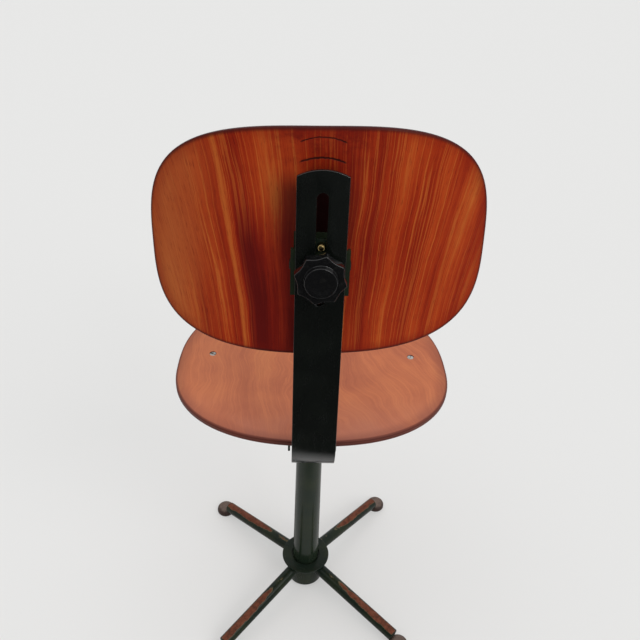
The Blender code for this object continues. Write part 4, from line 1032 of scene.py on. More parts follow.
def softened(node: str, width: float, steps: int = 2) -> bpy.types.Object:
    """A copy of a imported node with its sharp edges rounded.

    Args:
        node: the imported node.
        width: width of the rounding.
        steps: facets across it.

    Returns:
        The new piece, which stands for nothing yet.
    """
    bm = bmesh.new()
    bm.from_mesh(frame["nodes"][node].data)
    bmesh.ops.remove_doubles(bm, verts=bm.verts, dist=MERGE)
    bmesh.ops.dissolve_limit(bm, angle_limit=math.radians(0.5), verts=bm.verts, edges=bm.edges)
    mesh = bpy.data.meshes.new(f"{node}_rounded")
    bm.to_mesh(mesh)
    bm.free()
    mesh.shade_smooth()
    piece = linked(f"{node}_rounded", mesh)
    bevel = piece.modifiers.new("edges", "BEVEL")
    bevel.width = width
    bevel.segments = steps
    bevel.limit_method = "ANGLE"
    bevel.angle_limit = math.radians(32.0)
    bevel.harden_normals = True
    return applied(piece)


# Helpers for geometry nodes


class Grower:
    """A geometry-node tree in the making, with short calls for its nodes."""

    def __init__(self, name: str, inputs: dict[str, str]) -> None:
        """Starts a tree.

        Args:
            name: the tree's name.
            inputs: each named input and its socket type.
        """
        self.tree = bpy.data.node_groups.new(name, "GeometryNodeTree")
        face = self.tree.interface
        face.new_socket("Geometry", in_out="INPUT", socket_type="NodeSocketGeometry")
        for label, kind in {**inputs, "Finish": "NodeSocketMaterial"}.items():
            face.new_socket(label, in_out="INPUT", socket_type=kind)
        face.new_socket("Geometry", in_out="OUTPUT", socket_type="NodeSocketGeometry")
        self.source = self.tree.nodes.new("NodeGroupInput")
        self.sink = self.tree.nodes.new("NodeGroupOutput")

    def given(self, label: str) -> bpy.types.NodeSocket:
        """A named input's socket."""
        return self.source.outputs[label]

    def node(self, kind: str, **feeds: Feed) -> bpy.types.Node:
        """Adds a node and feeds its inputs.

        Args:
            kind: the node's type.
            feeds: input names, with _ for a space, and what goes in.

        Returns:
            The node.
        """
        made = self.tree.nodes.new(kind)
        for label, value in feeds.items():
            self.feed(made.inputs[label.replace("_", " ")], value)
        return made

    def feed(self, socket: bpy.types.NodeSocket, value: Feed) -> None:
        """Links or sets an input."""
        if isinstance(value, bpy.types.NodeSocket):
            self.tree.links.new(value, socket)
        else:
            socket.default_value = value

    def math(self, operation: str, first: Feed, second: Feed = 0.0) -> bpy.types.NodeSocket:
        """Works out one sum.

        Args:
            operation: the Math node's operation.
            first: its first value.
            second: its second value.

        Returns:
            The result's socket.
        """
        made = self.tree.nodes.new("ShaderNodeMath")
        made.operation = operation
        self.feed(made.inputs[0], first)
        self.feed(made.inputs[1], second)
        return made.outputs[0]

    def inside(self, value: Feed, low: Feed, high: Feed) -> bpy.types.NodeSocket:
        """1 where a number lies between two others, and 0 elsewhere."""
        above = self.math("GREATER_THAN", value, low)
        return self.math("MULTIPLY", above, self.math("LESS_THAN", value, high))

    def polar(self) -> tuple[bpy.types.NodeSocket, ...]:
        """The place of each point round the Z axis.

        Returns:
            Sockets of x, y, z, the distance from the axis and the angle round it.
        """
        split = self.node("ShaderNodeSeparateXYZ", Vector=self.node("GeometryNodeInputPosition").outputs[0])
        x, y, z = split.outputs
        reach = self.math("SQRT", self.math("ADD", self.math("MULTIPLY", x, x), self.math("MULTIPLY", y, y)))
        return x, y, z, reach, self.math("ARCTAN2", y, x)

    def drawn_in(self, geometry: bpy.types.NodeSocket, by: bpy.types.NodeSocket) -> bpy.types.NodeSocket:
        """Moves each point towards the Z axis.

        Args:
            geometry: the shape.
            by: how far each point moves.

        Returns:
            The moved shape's socket.
        """
        x, y, _, reach, _ = self.polar()
        share = self.math("DIVIDE", self.math("MULTIPLY", by, -1.0), self.math("MAXIMUM", reach, MERGE))
        joined = self.tree.nodes.new("ShaderNodeCombineXYZ")
        self.feed(joined.inputs[0], self.math("MULTIPLY", x, share))
        self.feed(joined.inputs[1], self.math("MULTIPLY", y, share))
        moved = self.node("GeometryNodeSetPosition", Geometry=geometry, Offset=joined.outputs[0])
        return moved.outputs[0]

    def close(self, geometry: bpy.types.NodeSocket) -> "Grower":
        """Ends the tree with real meshes in the given finish.

        Args:
            geometry: what the tree has made.

        Returns:
            The tree's maker.
        """
        real = self.node("GeometryNodeRealizeInstances", Geometry=geometry)
        finish = self.given("Finish")
        dressed = self.node("GeometryNodeSetMaterial", Geometry=real.outputs[0], Material=finish)
        self.feed(self.sink.inputs[0], dressed.outputs[0])
        return self

    def grow(self, piece: bpy.types.Object, **values: object) -> bpy.types.Object:
        """Runs the tree on a piece and keeps the result as a plain mesh.

        Args:
            piece: what the tree starts from.
            values: the named inputs' values, with _ for a space.

        Returns:
            The plain piece.
        """
        modifier = piece.modifiers.new(self.tree.name, "NODES")
        modifier.node_group = self.tree
        for item in self.tree.interface.items_tree:
            label = item.name.replace(" ", "_")
            if item.in_out == "INPUT" and label in values:
                modifier[item.identifier] = values[label]
        return applied(piece)


def lobed_rim() -> Grower:
    """A tree that draws a turned piece's rim in between its lobes."""
    numbers = ("Lobes", "Depth", "Softness", "Inner", "Outer")
    grower = Grower("lobed_rim", {label: "NodeSocketFloat" for label in numbers})
    _, _, _, reach, angle = grower.polar()
    half_lobes = grower.math("MULTIPLY", grower.given("Lobes"), 0.5)
    wave = grower.math("SINE", grower.math("MULTIPLY", angle, half_lobes))
    blunt = grower.math("ADD", grower.math("MULTIPLY", wave, wave), grower.given("Softness"))
    hollow = grower.math("POWER", blunt, 0.42)
    share = grower.node("ShaderNodeMapRange")
    grower.feed(share.inputs[0], reach)
    grower.feed(share.inputs[1], grower.given("Inner"))
    grower.feed(share.inputs[2], grower.given("Outer"))
    depth = grower.math("MULTIPLY", grower.math("MULTIPLY", hollow, share.outputs[0]), grower.given("Depth"))
    return grower.close(grower.drawn_in(grower.given("Geometry"), depth))


def threaded_rod() -> Grower:
    """A tree that cuts a screw thread and a keyway into a finely ringed rod."""
    numbers = ("Pitch", "Starts", "Depth", "Low", "High", "Core", "Key Angle", "Key Floor")
    grower = Grower("threaded_rod", {label: "NodeSocketFloat" for label in numbers})
    _, _, z, reach, angle = grower.polar()
    rise = grower.math("DIVIDE", z, grower.given("Pitch"))
    turns = grower.math("DIVIDE", grower.math("MULTIPLY", angle, grower.given("Starts")), math.tau)
    phase = grower.math("FRACT", grower.math("SUBTRACT", rise, turns))
    flank = grower.math("ABSOLUTE", grower.math("SUBTRACT", grower.math("MULTIPLY", phase, 2.0), 1.0))
    groove = grower.node("ShaderNodeMapRange")
    grower.feed(groove.inputs[0], flank)
    grower.feed(groove.inputs[1], 0.34)
    grower.feed(groove.inputs[2], 0.74)
    wall = grower.math("GREATER_THAN", reach, grower.given("Core"))
    here = grower.math("MULTIPLY", grower.inside(z, grower.given("Low"), grower.given("High")), wall)
    thread = grower.math("MULTIPLY", grower.math("MULTIPLY", groove.outputs[0], grower.given("Depth")), here)
    from_key = grower.math("ABSOLUTE", grower.math("ADD", angle, math.pi / 2))
    key = grower.math("MULTIPLY", grower.math("LESS_THAN", from_key, grower.given("Key Angle")), here)
    slot = grower.math("MULTIPLY", grower.math("SUBTRACT", reach, grower.given("Key Floor")), key)
    return grower.close(grower.drawn_in(grower.given("Geometry"), grower.math("MAXIMUM", thread, slot)))


def weld_bead() -> Grower:
    """A tree that lays a rippled weld bead along a curve."""
    numbers = {"Bead": "NodeSocketFloat", "Ripples": "NodeSocketFloat", "Seed": "NodeSocketFloat"}
    grower = Grower("weld_bead", numbers)
    along = grower.node("GeometryNodeSplineParameter").outputs["Factor"]
    phase = grower.math("MULTIPLY", grower.math("MULTIPLY", along, grower.given("Ripples")), math.tau)
    ripple = grower.math("MULTIPLY", grower.math("SINE", phase), 0.16)
    size = grower.math("MULTIPLY", grower.math("ADD", ripple, 1.0), grower.given("Bead"))
    section = grower.node("GeometryNodeCurvePrimitiveCircle", Resolution=12, Radius=1.0)
    path = grower.given("Geometry")
    tube = grower.node("GeometryNodeCurveToMesh", Curve=path, Profile_Curve=section.outputs[0])
    grower.feed(tube.inputs["Scale"], size)
    noise = grower.tree.nodes.new("ShaderNodeTexNoise")
    noise.noise_dimensions = "4D"
    noise.inputs["Scale"].default_value = 260.0
    grower.feed(noise.inputs["W"], grower.given("Seed"))
    spread = grower.math("MULTIPLY", grower.math("SUBTRACT", noise.outputs[0], 0.5), 0.0007)
    push = grower.node("ShaderNodeVectorMath")
    push.operation = "SCALE"
    grower.feed(push.inputs[0], grower.node("GeometryNodeInputNormal").outputs[0])
    grower.feed(push.inputs["Scale"], spread)
    moved = grower.node("GeometryNodeSetPosition", Geometry=tube.outputs[0], Offset=push.outputs[0])
    smooth = grower.node("GeometryNodeSetShadeSmooth", Geometry=moved.outputs[0])
    return grower.close(smooth.outputs[0])


def screw_row() -> Grower:
    """A tree that sets a screw on each point, along the point's axis, with its slot turned at random."""
    sockets = {"Screw": "NodeSocketObject", "Seed": "NodeSocketInt"}
    grower = Grower("screw_row", sockets)
    info = grower.node("GeometryNodeObjectInfo", Object=grower.given("Screw"))
    named = grower.tree.nodes.new("GeometryNodeInputNamedAttribute")
    named.data_type = "FLOAT_VECTOR"
    named.inputs["Name"].default_value = "axis"
    align = grower.tree.nodes.new("FunctionNodeAlignRotationToVector")
    align.axis = "Z"
    grower.feed(align.inputs["Vector"], named.outputs[0])
    spin = grower.tree.nodes.new("FunctionNodeRandomValue")
    spin.data_type = "FLOAT"
    spin.inputs["Max"].default_value = math.tau
    grower.feed(spin.inputs["Seed"], grower.given("Seed"))
    local = grower.tree.nodes.new("FunctionNodeAxisAngleToRotation")
    local.inputs["Axis"].default_value = (0.0, 0.0, 1.0)
    grower.feed(local.inputs["Angle"], spin.outputs[1])
    both = grower.tree.nodes.new("FunctionNodeRotateRotation")
    both.rotation_space = "LOCAL"
    grower.feed(both.inputs[0], align.outputs[0])
    grower.feed(both.inputs[1], local.outputs[0])
    on_points = grower.node("GeometryNodeInstanceOnPoints", Points=grower.given("Geometry"))
    grower.feed(on_points.inputs["Instance"], info.outputs["Geometry"])
    grower.feed(on_points.inputs["Rotation"], both.outputs[0])
    return grower.close(on_points.outputs[0])


# The chair


@dataclass
class Base:
    """The hub, its flange, the legs with their feet, and the column."""

    finishes: Finishes
    bead_tree: Grower
    leg_count: int = 4
    leg_radius: float = 0.0102
    leg_wall: float = 0.0020
    leg_hub_height: float = 0.0440
    leg_foot_height: float = 0.0195
    foot_circle: float = 0.213
    leg_overhang: float = 0.0050
    bead_radius: float = 0.0017
    bead_ripples: float = 26.0
    cut_reach: float = 0.025
    column_wall: float = 0.0020
    hub_radius: float = field(init=False)
    hub_low: float = field(init=False)
    hub_top: float = field(init=False)
    foot_radius: float = field(init=False)
    foot_height: float = field(init=False)

    def __post_init__(self) -> None:
        """Reads the hub's and the foot's sizes from the frame."""
        low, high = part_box("hub_barrel")
        self.hub_radius = (high.x - low.x) / 2
        self.hub_low, self.hub_top = low.z, high.z
        low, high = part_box("foot_1")
        self.foot_radius = (high.x - low.x) / 2
        self.foot_height = high.z

    def column_radius(self, height: float) -> float:
        """Outside radius of the tapered column at a height."""
        low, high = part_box("column")
        points = [v.co for v in frame["nodes"]["column"].data.vertices]
        foot = max(math.hypot(p.x, p.y) for p in points if p.z < low.z + MERGE)
        head = max(math.hypot(p.x, p.y) for p in points if p.z > high.z - MERGE)
        return foot + (head - foot) * (height - low.z) / (high.z - low.z)

    def build_hub(self) -> None:
        """The short barrel and the wider flange on it, with turned edges."""
        low, high = self.hub_low, self.hub_top
        outer = self.hub_radius
        bore_low = self.column_radius(low) + GAP
        bore_high = self.column_radius(high) + GAP
        section = [(bore_low, low, 0), (outer, low, 0.0018), (outer, high, 0.0008), (bore_high, high, 0)]
        barrel = turned("hub_barrel_turned", filleted(section), closed=True)
        Fitting("base", Slot.GREEN, ("hub_barrel",)).settle(barrel, self.finishes.green)
        low_corner, high_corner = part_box("hub_flange")
        outer = (high_corner.x - low_corner.x) / 2
        points = [v.co for v in frame["nodes"]["hub_flange"].data.vertices]
        hole = min(math.hypot(p.x, p.y) for p in points)
        low, high = low_corner.z, high_corner.z
        section = [(hole, low, 0), (outer, low, 0.0008), (outer, high, 0.0014), (hole, high, 0)]
        flange = turned("hub_flange_turned", filleted(section), closed=True)
        Fitting("base", Slot.GREEN, ("hub_flange",)).settle(flange, self.finishes.green)

    def build_column(self) -> None:
        """The tapered column tube."""
        low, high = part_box("column")
        foot, head = self.column_radius(low.z), self.column_radius(high.z)
        wall = self.column_wall
        section = [
            (foot - wall, low.z, 0),
            (foot, low.z, 0),
            (head, high.z, 0.0008),
            (head - wall, high.z, 0),
        ]
        column = turned("column_tube", filleted(section), closed=True)
        key_low, key_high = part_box("key_screw")
        middle = (key_low + key_high) / 2
        radius = (key_high.x - key_low.x) / 2 * 0.49 + GAP
        hole = turned("key_bore", [(0, -0.03), (radius, -0.03), (radius, 0.0), (0, 0.0)], 32)
        placed(hole, facing((0.0, 0.0, middle.z), (0.0, 1.0, 0.0)))
        cut_away(column, [hole])
        Fitting("base", Slot.GREEN, ("column",)).settle(column, self.finishes.column)

    def leg_angle(self, number: int) -> float:
        """Direction of a leg, from the place of its foot."""
        low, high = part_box(f"foot_{number}")
        middle = (low + high) / 2
        return math.atan2(middle.y, middle.x)

    def build_leg(self, number: int) -> None:
        """One leg tube, shaped to the hub and over its foot, its weld bead, and the foot.

        Args:
            number: the leg's number in the frame, from 1.
        """
        angle = self.leg_angle(number)
        outward = Vector((math.cos(angle), math.sin(angle), 0.0))
        start = outward * self.hub_radius + Vector((0.0, 0.0, self.leg_hub_height))
        end = outward * (self.foot_circle - self.foot_radius) + Vector((0.0, 0.0, self.leg_foot_height))
        along = (end - start).normalized()
        lead = self.leg_radius
        length = (end - start).length + lead + self.leg_overhang
        inner = self.leg_radius - self.leg_wall
        section = [
            (0.0, length, 0),
            (self.leg_radius, length, self.leg_wall),
            (self.leg_radius, 0.0, 0),
            (inner, 0.0, 0),
            (inner, length - 2 * self.leg_wall, 0),
            (0.0, length - 2 * self.leg_wall, 0),
        ]
        leg = turned(f"leg_{number}_tube", filleted(section, 5), 48)
        placed(leg, facing(start - along * lead, along))
        radius = self.hub_radius + GAP
        low, high = self.hub_low - self.cut_reach, self.hub_top + self.cut_reach
        hub_cut = turned("hub_cut", [(0, low), (radius, low), (radius, high), (0, high)], 96)
        radius = self.foot_radius + GAP
        high = self.foot_height + GAP
        foot_cut = turned("foot_cut", [(0, -0.02), (radius, -0.02), (radius, high), (0, high)], 64)
        placed(foot_cut, Matrix.Translation(outward * self.foot_circle))
        cut_away(leg, [hub_cut, foot_cut])
        Fitting("base", Slot.GREEN, (f"leg_{number}",)).settle(leg, self.finishes.leg)
        self.build_bead(number, start, along)
        self.build_foot(number, outward * self.foot_circle)

    def build_bead(self, number: int, start: Vector, along: Vector) -> None:
        """The weld bead where a leg meets the hub.

        Args:
            number: the leg's number.
            start: where its axis meets the hub.
            along: its direction.
        """
        side = Vector((0.0, 0.0, 1.0)).cross(along).normalized()
        up = along.cross(side)
        points = []
        for step in range(72):
            turn = math.tau * step / 72
            edge = (side * math.cos(turn) + up * math.sin(turn)) * self.leg_radius
            origin = start + edge - along * self.leg_radius * 1.5
            flat = Vector((along.x, along.y))
            here = Vector((origin.x, origin.y))
            slope = here.dot(flat)
            squared = flat.length_squared
            past_hub = here.length_squared - self.hub_radius**2
            reach = (-slope + math.sqrt(slope**2 - squared * past_hub)) / squared
            point = origin + along * reach
            points.append(point)
        bead = self.bead_tree.grow(
            closed_curve(f"leg_{number}_weld", points),
            Bead=self.bead_radius,
            Ripples=self.bead_ripples,
            Seed=1.7 * number,
            Finish=self.finishes.green,
        )
        Fitting("base", Slot.GREEN).settle(bead, self.finishes.green)

    def build_foot(self, number: int, centre: Vector) -> None:
        """A foot disc with a rounded rim and a slightly domed top.

        Args:
            number: the foot's number.
            centre: its place on the floor.
        """
        radius, height = self.foot_radius, self.foot_height
        section = [
            (0.0, 0.0, 0),
            (radius - 0.0012, 0.0, 0.0006),
            (radius, 0.0020, 0.001),
            (radius, height, 0.0075),
            (radius * 0.55, height, 0.004),
            (radius * 0.45, height - 0.0004, 0.004),
            (0.0, height - 0.0004, 0),
        ]
        foot = turned(f"foot_{number}_disc", filleted(section, 6), 72)
        placed(foot, Matrix.Translation(centre))
        Fitting("base", Slot.FOOT, (f"foot_{number}",)).settle(foot, self.finishes.foot)

    def build(self) -> None:
        """Builds the whole base."""
        self.build_hub()
        self.build_column()
        for number in range(1, self.leg_count + 1):
            self.build_leg(number)


def closed_curve(name: str, points: Iterable[Vector]) -> bpy.types.Object:
    """A closed curve through points.

    Args:
        name: the object's name.
        points: the curve's points.

    Returns:
        The curve's object.
    """
    places = list(points)
    curve = bpy.data.curves.new(name, "CURVE")
    curve.dimensions = "3D"
    spline = curve.splines.new("POLY")
    spline.points.add(len(places) - 1)
    for point, place in zip(spline.points, places):
        point.co = (*place, 1.0)
    spline.use_cyclic_u = True
    piece = bpy.data.objects.new(name, curve)
    bpy.context.scene.collection.objects.link(piece)
    return piece


@dataclass
class HeightScrew:
    """The spindle with its coarse thread, keyway and journal."""

    finishes: Finishes
    thread_tree: Grower
    radius: float = 0.014
    journal: float = 0.010
    journal_length: float = 0.040
    groove_depth: float = 0.002
    groove_width: float = 0.007
    groove_rise: float = 0.020
    pitch: float = 0.004
    starts: float = 2.0
    thread_depth: float = 0.0013
    key_floor: float = 0.0112
    key_angle: float = 0.19
    row: float = 0.0004  # height of a ring of the threaded part

    def build(self) -> None:
        """Builds the threaded spindle."""
        low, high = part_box("spindle")
        shoulder = high.z - self.journal_length
        rows = round((shoulder - low.z) / self.row)
        profile = [(0.0, low.z), (self.radius - 0.0012, low.z)]
        profile += [(self.radius, low.z + (shoulder - low.z) * k / rows) for k in range(1, rows + 1)]
        groove = shoulder + self.groove_rise - self.groove_width / 2
        section = [
            (self.radius, shoulder, 0),
            (self.journal, shoulder, 0),
            (self.journal, groove, 0),
            (self.journal - self.groove_depth, groove, 0),
            (self.journal - self.groove_depth, groove + self.groove_width, 0),
            (self.journal, groove + self.groove_width, 0),
            (self.journal, high.z, 0.001),
            (0.0, high.z, 0),
        ]
        rod = turned("height_spindle", profile + filleted(section)[1:], 60)
        rod = self.thread_tree.grow(
            rod,
            Pitch=self.pitch,
            Starts=self.starts,
            Depth=self.thread_depth,
            Low=low.z + 0.001,
            High=shoulder - 0.0015,
            Core=self.radius - 0.0005,
            Key_Angle=self.key_angle,
            Key_Floor=self.key_floor,
            Finish=self.finishes.steel,
        )
        rod.data.shade_smooth()
        rod.data.set_sharp_from_angle(angle=math.radians(45.0))
        Fitting("spindle", Slot.STEEL, ("spindle",)).settle(rod, self.finishes.steel)


@dataclass
class BoardShell:
    """A moulded plywood board with a rounded, slightly ribbed edge of plies.

    The map layer holds the depth through the board and the distance from its edge, for the veneer.
    """

    layer = "ply"
    finishes: Finishes
    thickness: float
    plies: int
    facets: int = 168
    inner_rings: int = 16
    edge_steps: int = 20
    ply_groove: float = 0.00012
    edge_power: float = 0.62
    outline_steps: int = 1400

    def outline(self, angle: float) -> tuple[float, float]:
        """A point of the flat outline. Each board gives its own.

        Args:
            angle: direction from the board's middle, in radians.

        Returns:
            The point.
        """
        raise NotImplementedError

    def point(self, across: float, along: float, depth: float) -> Vector:
        """A point of the moulded board. Each board gives its own.

        Args:
            across: distance across the flat outline.
            along: distance along it.
            depth: distance below the outer face.

        Returns:
            The place in the chair's axes.
        """
        raise NotImplementedError

    def even_outline(self) -> list[Vector]:
        """The outline as evenly spaced points."""
        turns = [math.tau * k / self.outline_steps for k in range(self.outline_steps + 1)]
        fine = [Vector(self.outline(turn)) for turn in turns]
        reach = [0.0]
        for before, after in zip(fine, fine[1:]):
            reach.append(reach[-1] + (after - before).length)
        points = []
        place = 0
        for k in range(self.facets):
            wanted = reach[-1] * k / self.facets
            while reach[place + 1] < wanted:
                place += 1
            share = (wanted - reach[place]) / (reach[place + 1] - reach[place])
            points.append(fine[place].lerp(fine[place + 1], share))
        return points

    def rings(self) -> list[tuple[list[Vector], float, float]]:
        """The flat rings from one face's middle round the edge to the other's.

        Returns:
            For each ring its flat points, its depth and its distance from the edge.
        """
        outer = self.even_outline()
        half = self.thickness / 2
        normals = []
        for k, point in enumerate(outer):
            tangent = outer[(k + 1) % len(outer)] - outer[k - 1]
            normals.append(Vector((tangent.y, -tangent.x)).normalized())
        face_edge = [point - normal * half for point, normal in zip(outer, normals)]
        count = self.inner_rings
        shares = [1.0 - ((count - k) / count) ** 1.6 for k in range(1, count)]
        faces = [([point * share for point in face_edge], 1.0 - share) for share in shares]
        smallest = min(point.length for point in face_edge)
        top = [(points, 0.0, half + inward * smallest) for points, inward in faces]
        edge = []
        for step in range(self.edge_steps + 1):
            turn = math.pi * step / self.edge_steps
            drop = half * (1.0 - math.copysign(abs(math.cos(turn)) ** self.edge_power, math.cos(turn)))
            inset = half * (1.0 - math.sin(turn) ** self.edge_power)
            rib = math.sin(math.pi * drop / self.thickness * self.plies) ** 2
            inset += self.ply_groove * (1.0 - rib) * math.sin(turn)
            edge.append(([point - normal * inset for point, normal in zip(outer, normals)], drop, inset))
        bottom = [(points, self.thickness, inward) for points, _, inward in reversed(top)]
        return top + edge + bottom

    def shell(self, name: str) -> bpy.types.Object:
        """Builds the board.

        Args:
            name: the piece's name.

        Returns:
            The board.
        """
        bm = bmesh.new()
        sheet = bm.loops.layers.uv.new(self.layer)
        rings = [([Vector((0.0, 0.0))], 0.0, self.thickness * 10)] + self.rings()
        rings.append(([Vector((0.0, 0.0))], self.thickness, self.thickness * 10))
        made = []
        facts = {}
        for points, depth, inward in rings:
            ring = [bm.verts.new(self.point(p.x, p.y, depth)) for p in points]
            for vert in ring:
                facts[vert] = (depth / self.thickness, min(1.0, inward * 10))
            made.append(ring)
        for lower, upper in zip(made, made[1:]):
            for k in range(self.facets):
                face = bm.faces.new(band_corners(lower, upper, k, (k + 1) % self.facets))
                for loop in face.loops:
                    loop[sheet].uv = facts[loop.vert]
        return smoothed(name, bm)


def rounded_quarter(angle: float, half_width: float, length: float, power: float) -> tuple[float, float]:
    """A point of a rounded outline, signs kept.

    Args:
        angle: direction from the middle.
        half_width: reach across.
        length: reach along.
        power: squareness, where 2 is an ellipse.

    Returns:
        The point.
    """
    across = math.copysign(abs(math.cos(angle)) ** (2 / power), math.cos(angle))
    along = math.copysign(abs(math.sin(angle)) ** (2 / power), math.sin(angle))
    return half_width * across, length * along


@dataclass(frozen=True)
class ScrewSpot:
    """A countersunk screw: where its face lies and where it points."""

    place: Vector
    axis: Vector


@dataclass
class SlottedScrews:
    """Countersunk screws with slotted heads, set by one tree and cut into what they hold."""

    finishes: Finishes
    tree: Grower
    shank: float
    head: float
    head_depth: float
    slot_width: float = 0.0009
    slot_depth: float = 0.0011

    def pattern(self, length: float) -> bpy.types.Object:
        """One screw, with its face at the origin and its shank along -Z.

        Args:
            length: from its face to its tip.

        Returns:
            The screw.
        """
        profile = [
            (0.0, -length, 0),
            (self.shank * 0.7, -length, 0),
            (self.shank, -length + 0.001, 0),
            (self.shank, -self.head_depth, 0.0006),
            (self.head, -GAP, 0),
            (self.head - 0.0002, 0.0, 0),
            (0.0, 0.0, 0),
        ]
        screw = turned("screw_pattern", filleted(profile), 40)
        bm = bmesh.new()
        bmesh.ops.create_cube(bm, size=1.0)
        bmesh.ops.scale(bm, vec=(self.head * 2.4, self.slot_width, self.slot_depth * 2), verts=bm.verts)
        return cut_away(screw, [meshed("slot_cutter", bm)])

    def set_row(self, name: str, spots: Sequence[ScrewSpot], length: float, seed: int) -> bpy.types.Object:
        """Sets the screws of one body.

        Args:
            name: the piece's name.
            spots: their places.
            length: their length.
            seed: fixes how their slots lie.

        Returns:
            The screws as one mesh.
        """
        mesh = bpy.data.meshes.new(name)
        mesh.from_pydata([tuple(spot.place) for spot in spots], [], [])
        axes = mesh.attributes.new("axis", "FLOAT_VECTOR", "POINT")
        for number, spot in enumerate(spots):
            axes.data[number].vector = spot.axis
        pattern = self.pattern(length)
        row = self.tree.grow(linked(name, mesh), Screw=pattern, Seed=seed, Finish=self.finishes.steel)
        bpy.data.objects.remove(pattern)
        return row

    def bores(self, spots: Sequence[ScrewSpot], length: float, rise: float = 0.002) -> list[bpy.types.Object]:
        """Cutters for the screws' holes.

        Args:
            spots: the screws' places.
            length: how deep each hole goes.
            rise: how far a cutter stands above the screw's face.

        Returns:
            The cutters.
        """
        bore, wide = self.shank + GAP, self.head + GAP
        profile = [
            (0.0, -length),
            (bore, -length),
            (bore, -self.head_depth - GAP),
            (wide, -2 * GAP),
            (wide, rise),
            (0.0, rise),
        ]
        cutters = []
        for number, spot in enumerate(spots):
            cutter = turned(f"bore_{number}", profile, 40)
            cutters.append(placed(cutter, facing(spot.place, spot.axis, 0.05)))
        return cutters


@dataclass
class SeatBoard(BoardShell):
    """The dished, round-cornered seat."""

    widest: float = -0.0105
    rear_power: float = 2.3
    front_power: float = 2.6
    dish: float = 0.005
    front_drop: float = 0.012
    rim_height: float = 0.480
    recess: float = 0.0006
    half_width: float = field(init=False)
    rear: float = field(init=False)
    front: float = field(init=False)

    def __post_init__(self) -> None:
        """Reads the outline's reach from the frame."""
        low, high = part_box("seat_board")
        self.half_width = (high.x - low.x) / 2
        self.rear = high.y - self.widest
        self.front = self.widest - low.y

    def outline(self, angle: float) -> tuple[float, float]:
        """A point of the flat outline, measured from its widest line."""
        rearward = math.sin(angle) > 0.0
        length, power = (self.rear, self.rear_power) if rearward else (self.front, self.front_power)
        return rounded_quarter(angle, self.half_width, length, power)

    def top(self, x: float, along: float) -> float:
        """Height of the upper face."""
        length = self.rear if along > 0.0 else self.front
        share = min(1.0, (x / self.half_width) ** 2 + (along / length) ** 2)
        roll = min(0.0, along + self.front / 2) / (self.front / 2)
        return self.rim_height - self.dish * (1.0 - share) - self.front_drop * roll**2

    def point(self, across: float, along: float, depth: float) -> Vector:
        """A point of the moulded seat."""
        return Vector((across, self.widest + along, self.top(across, along) - depth))

    def spots(self) -> list[ScrewSpot]:
        """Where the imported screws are."""
        found = []
        for side in ("left", "right", "front", "rear"):
            low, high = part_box(f"seat_screw_{side}")
            middle = (low + high) / 2
            found.append(ScrewSpot(Vector((middle.x, middle.y, high.z)), Vector((0.0, 0.0, 1.0))))
        return found

    def build(self, screws: SlottedScrews) -> None:
        """Builds the seat and its four screws.

        Args:
            screws: the screws' maker.
        """
        board = self.shell("seat_shell")
        spots = self.spots()
        cut_away(board, screws.bores(spots, self.thickness * 2))
        Fitting("seat", Slot.SEAT, ("seat_board",)).settle(board, self.finishes.seat)
        for group, picked in (("side", spots[:2]), ("middle", spots[2:])):
            names = ("left", "right") if group == "side" else ("front", "rear")
            low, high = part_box(f"seat_screw_{names[0]}")
            row = screws.set_row(f"seat_screws_{group}", picked, high.z - low.z, 3 if group == "side" else 8)
            stands_for = tuple(f"seat_screw_{side}" for side in names)
            Fitting("seat", Slot.STEEL, stands_for).settle(row, self.finishes.steel)


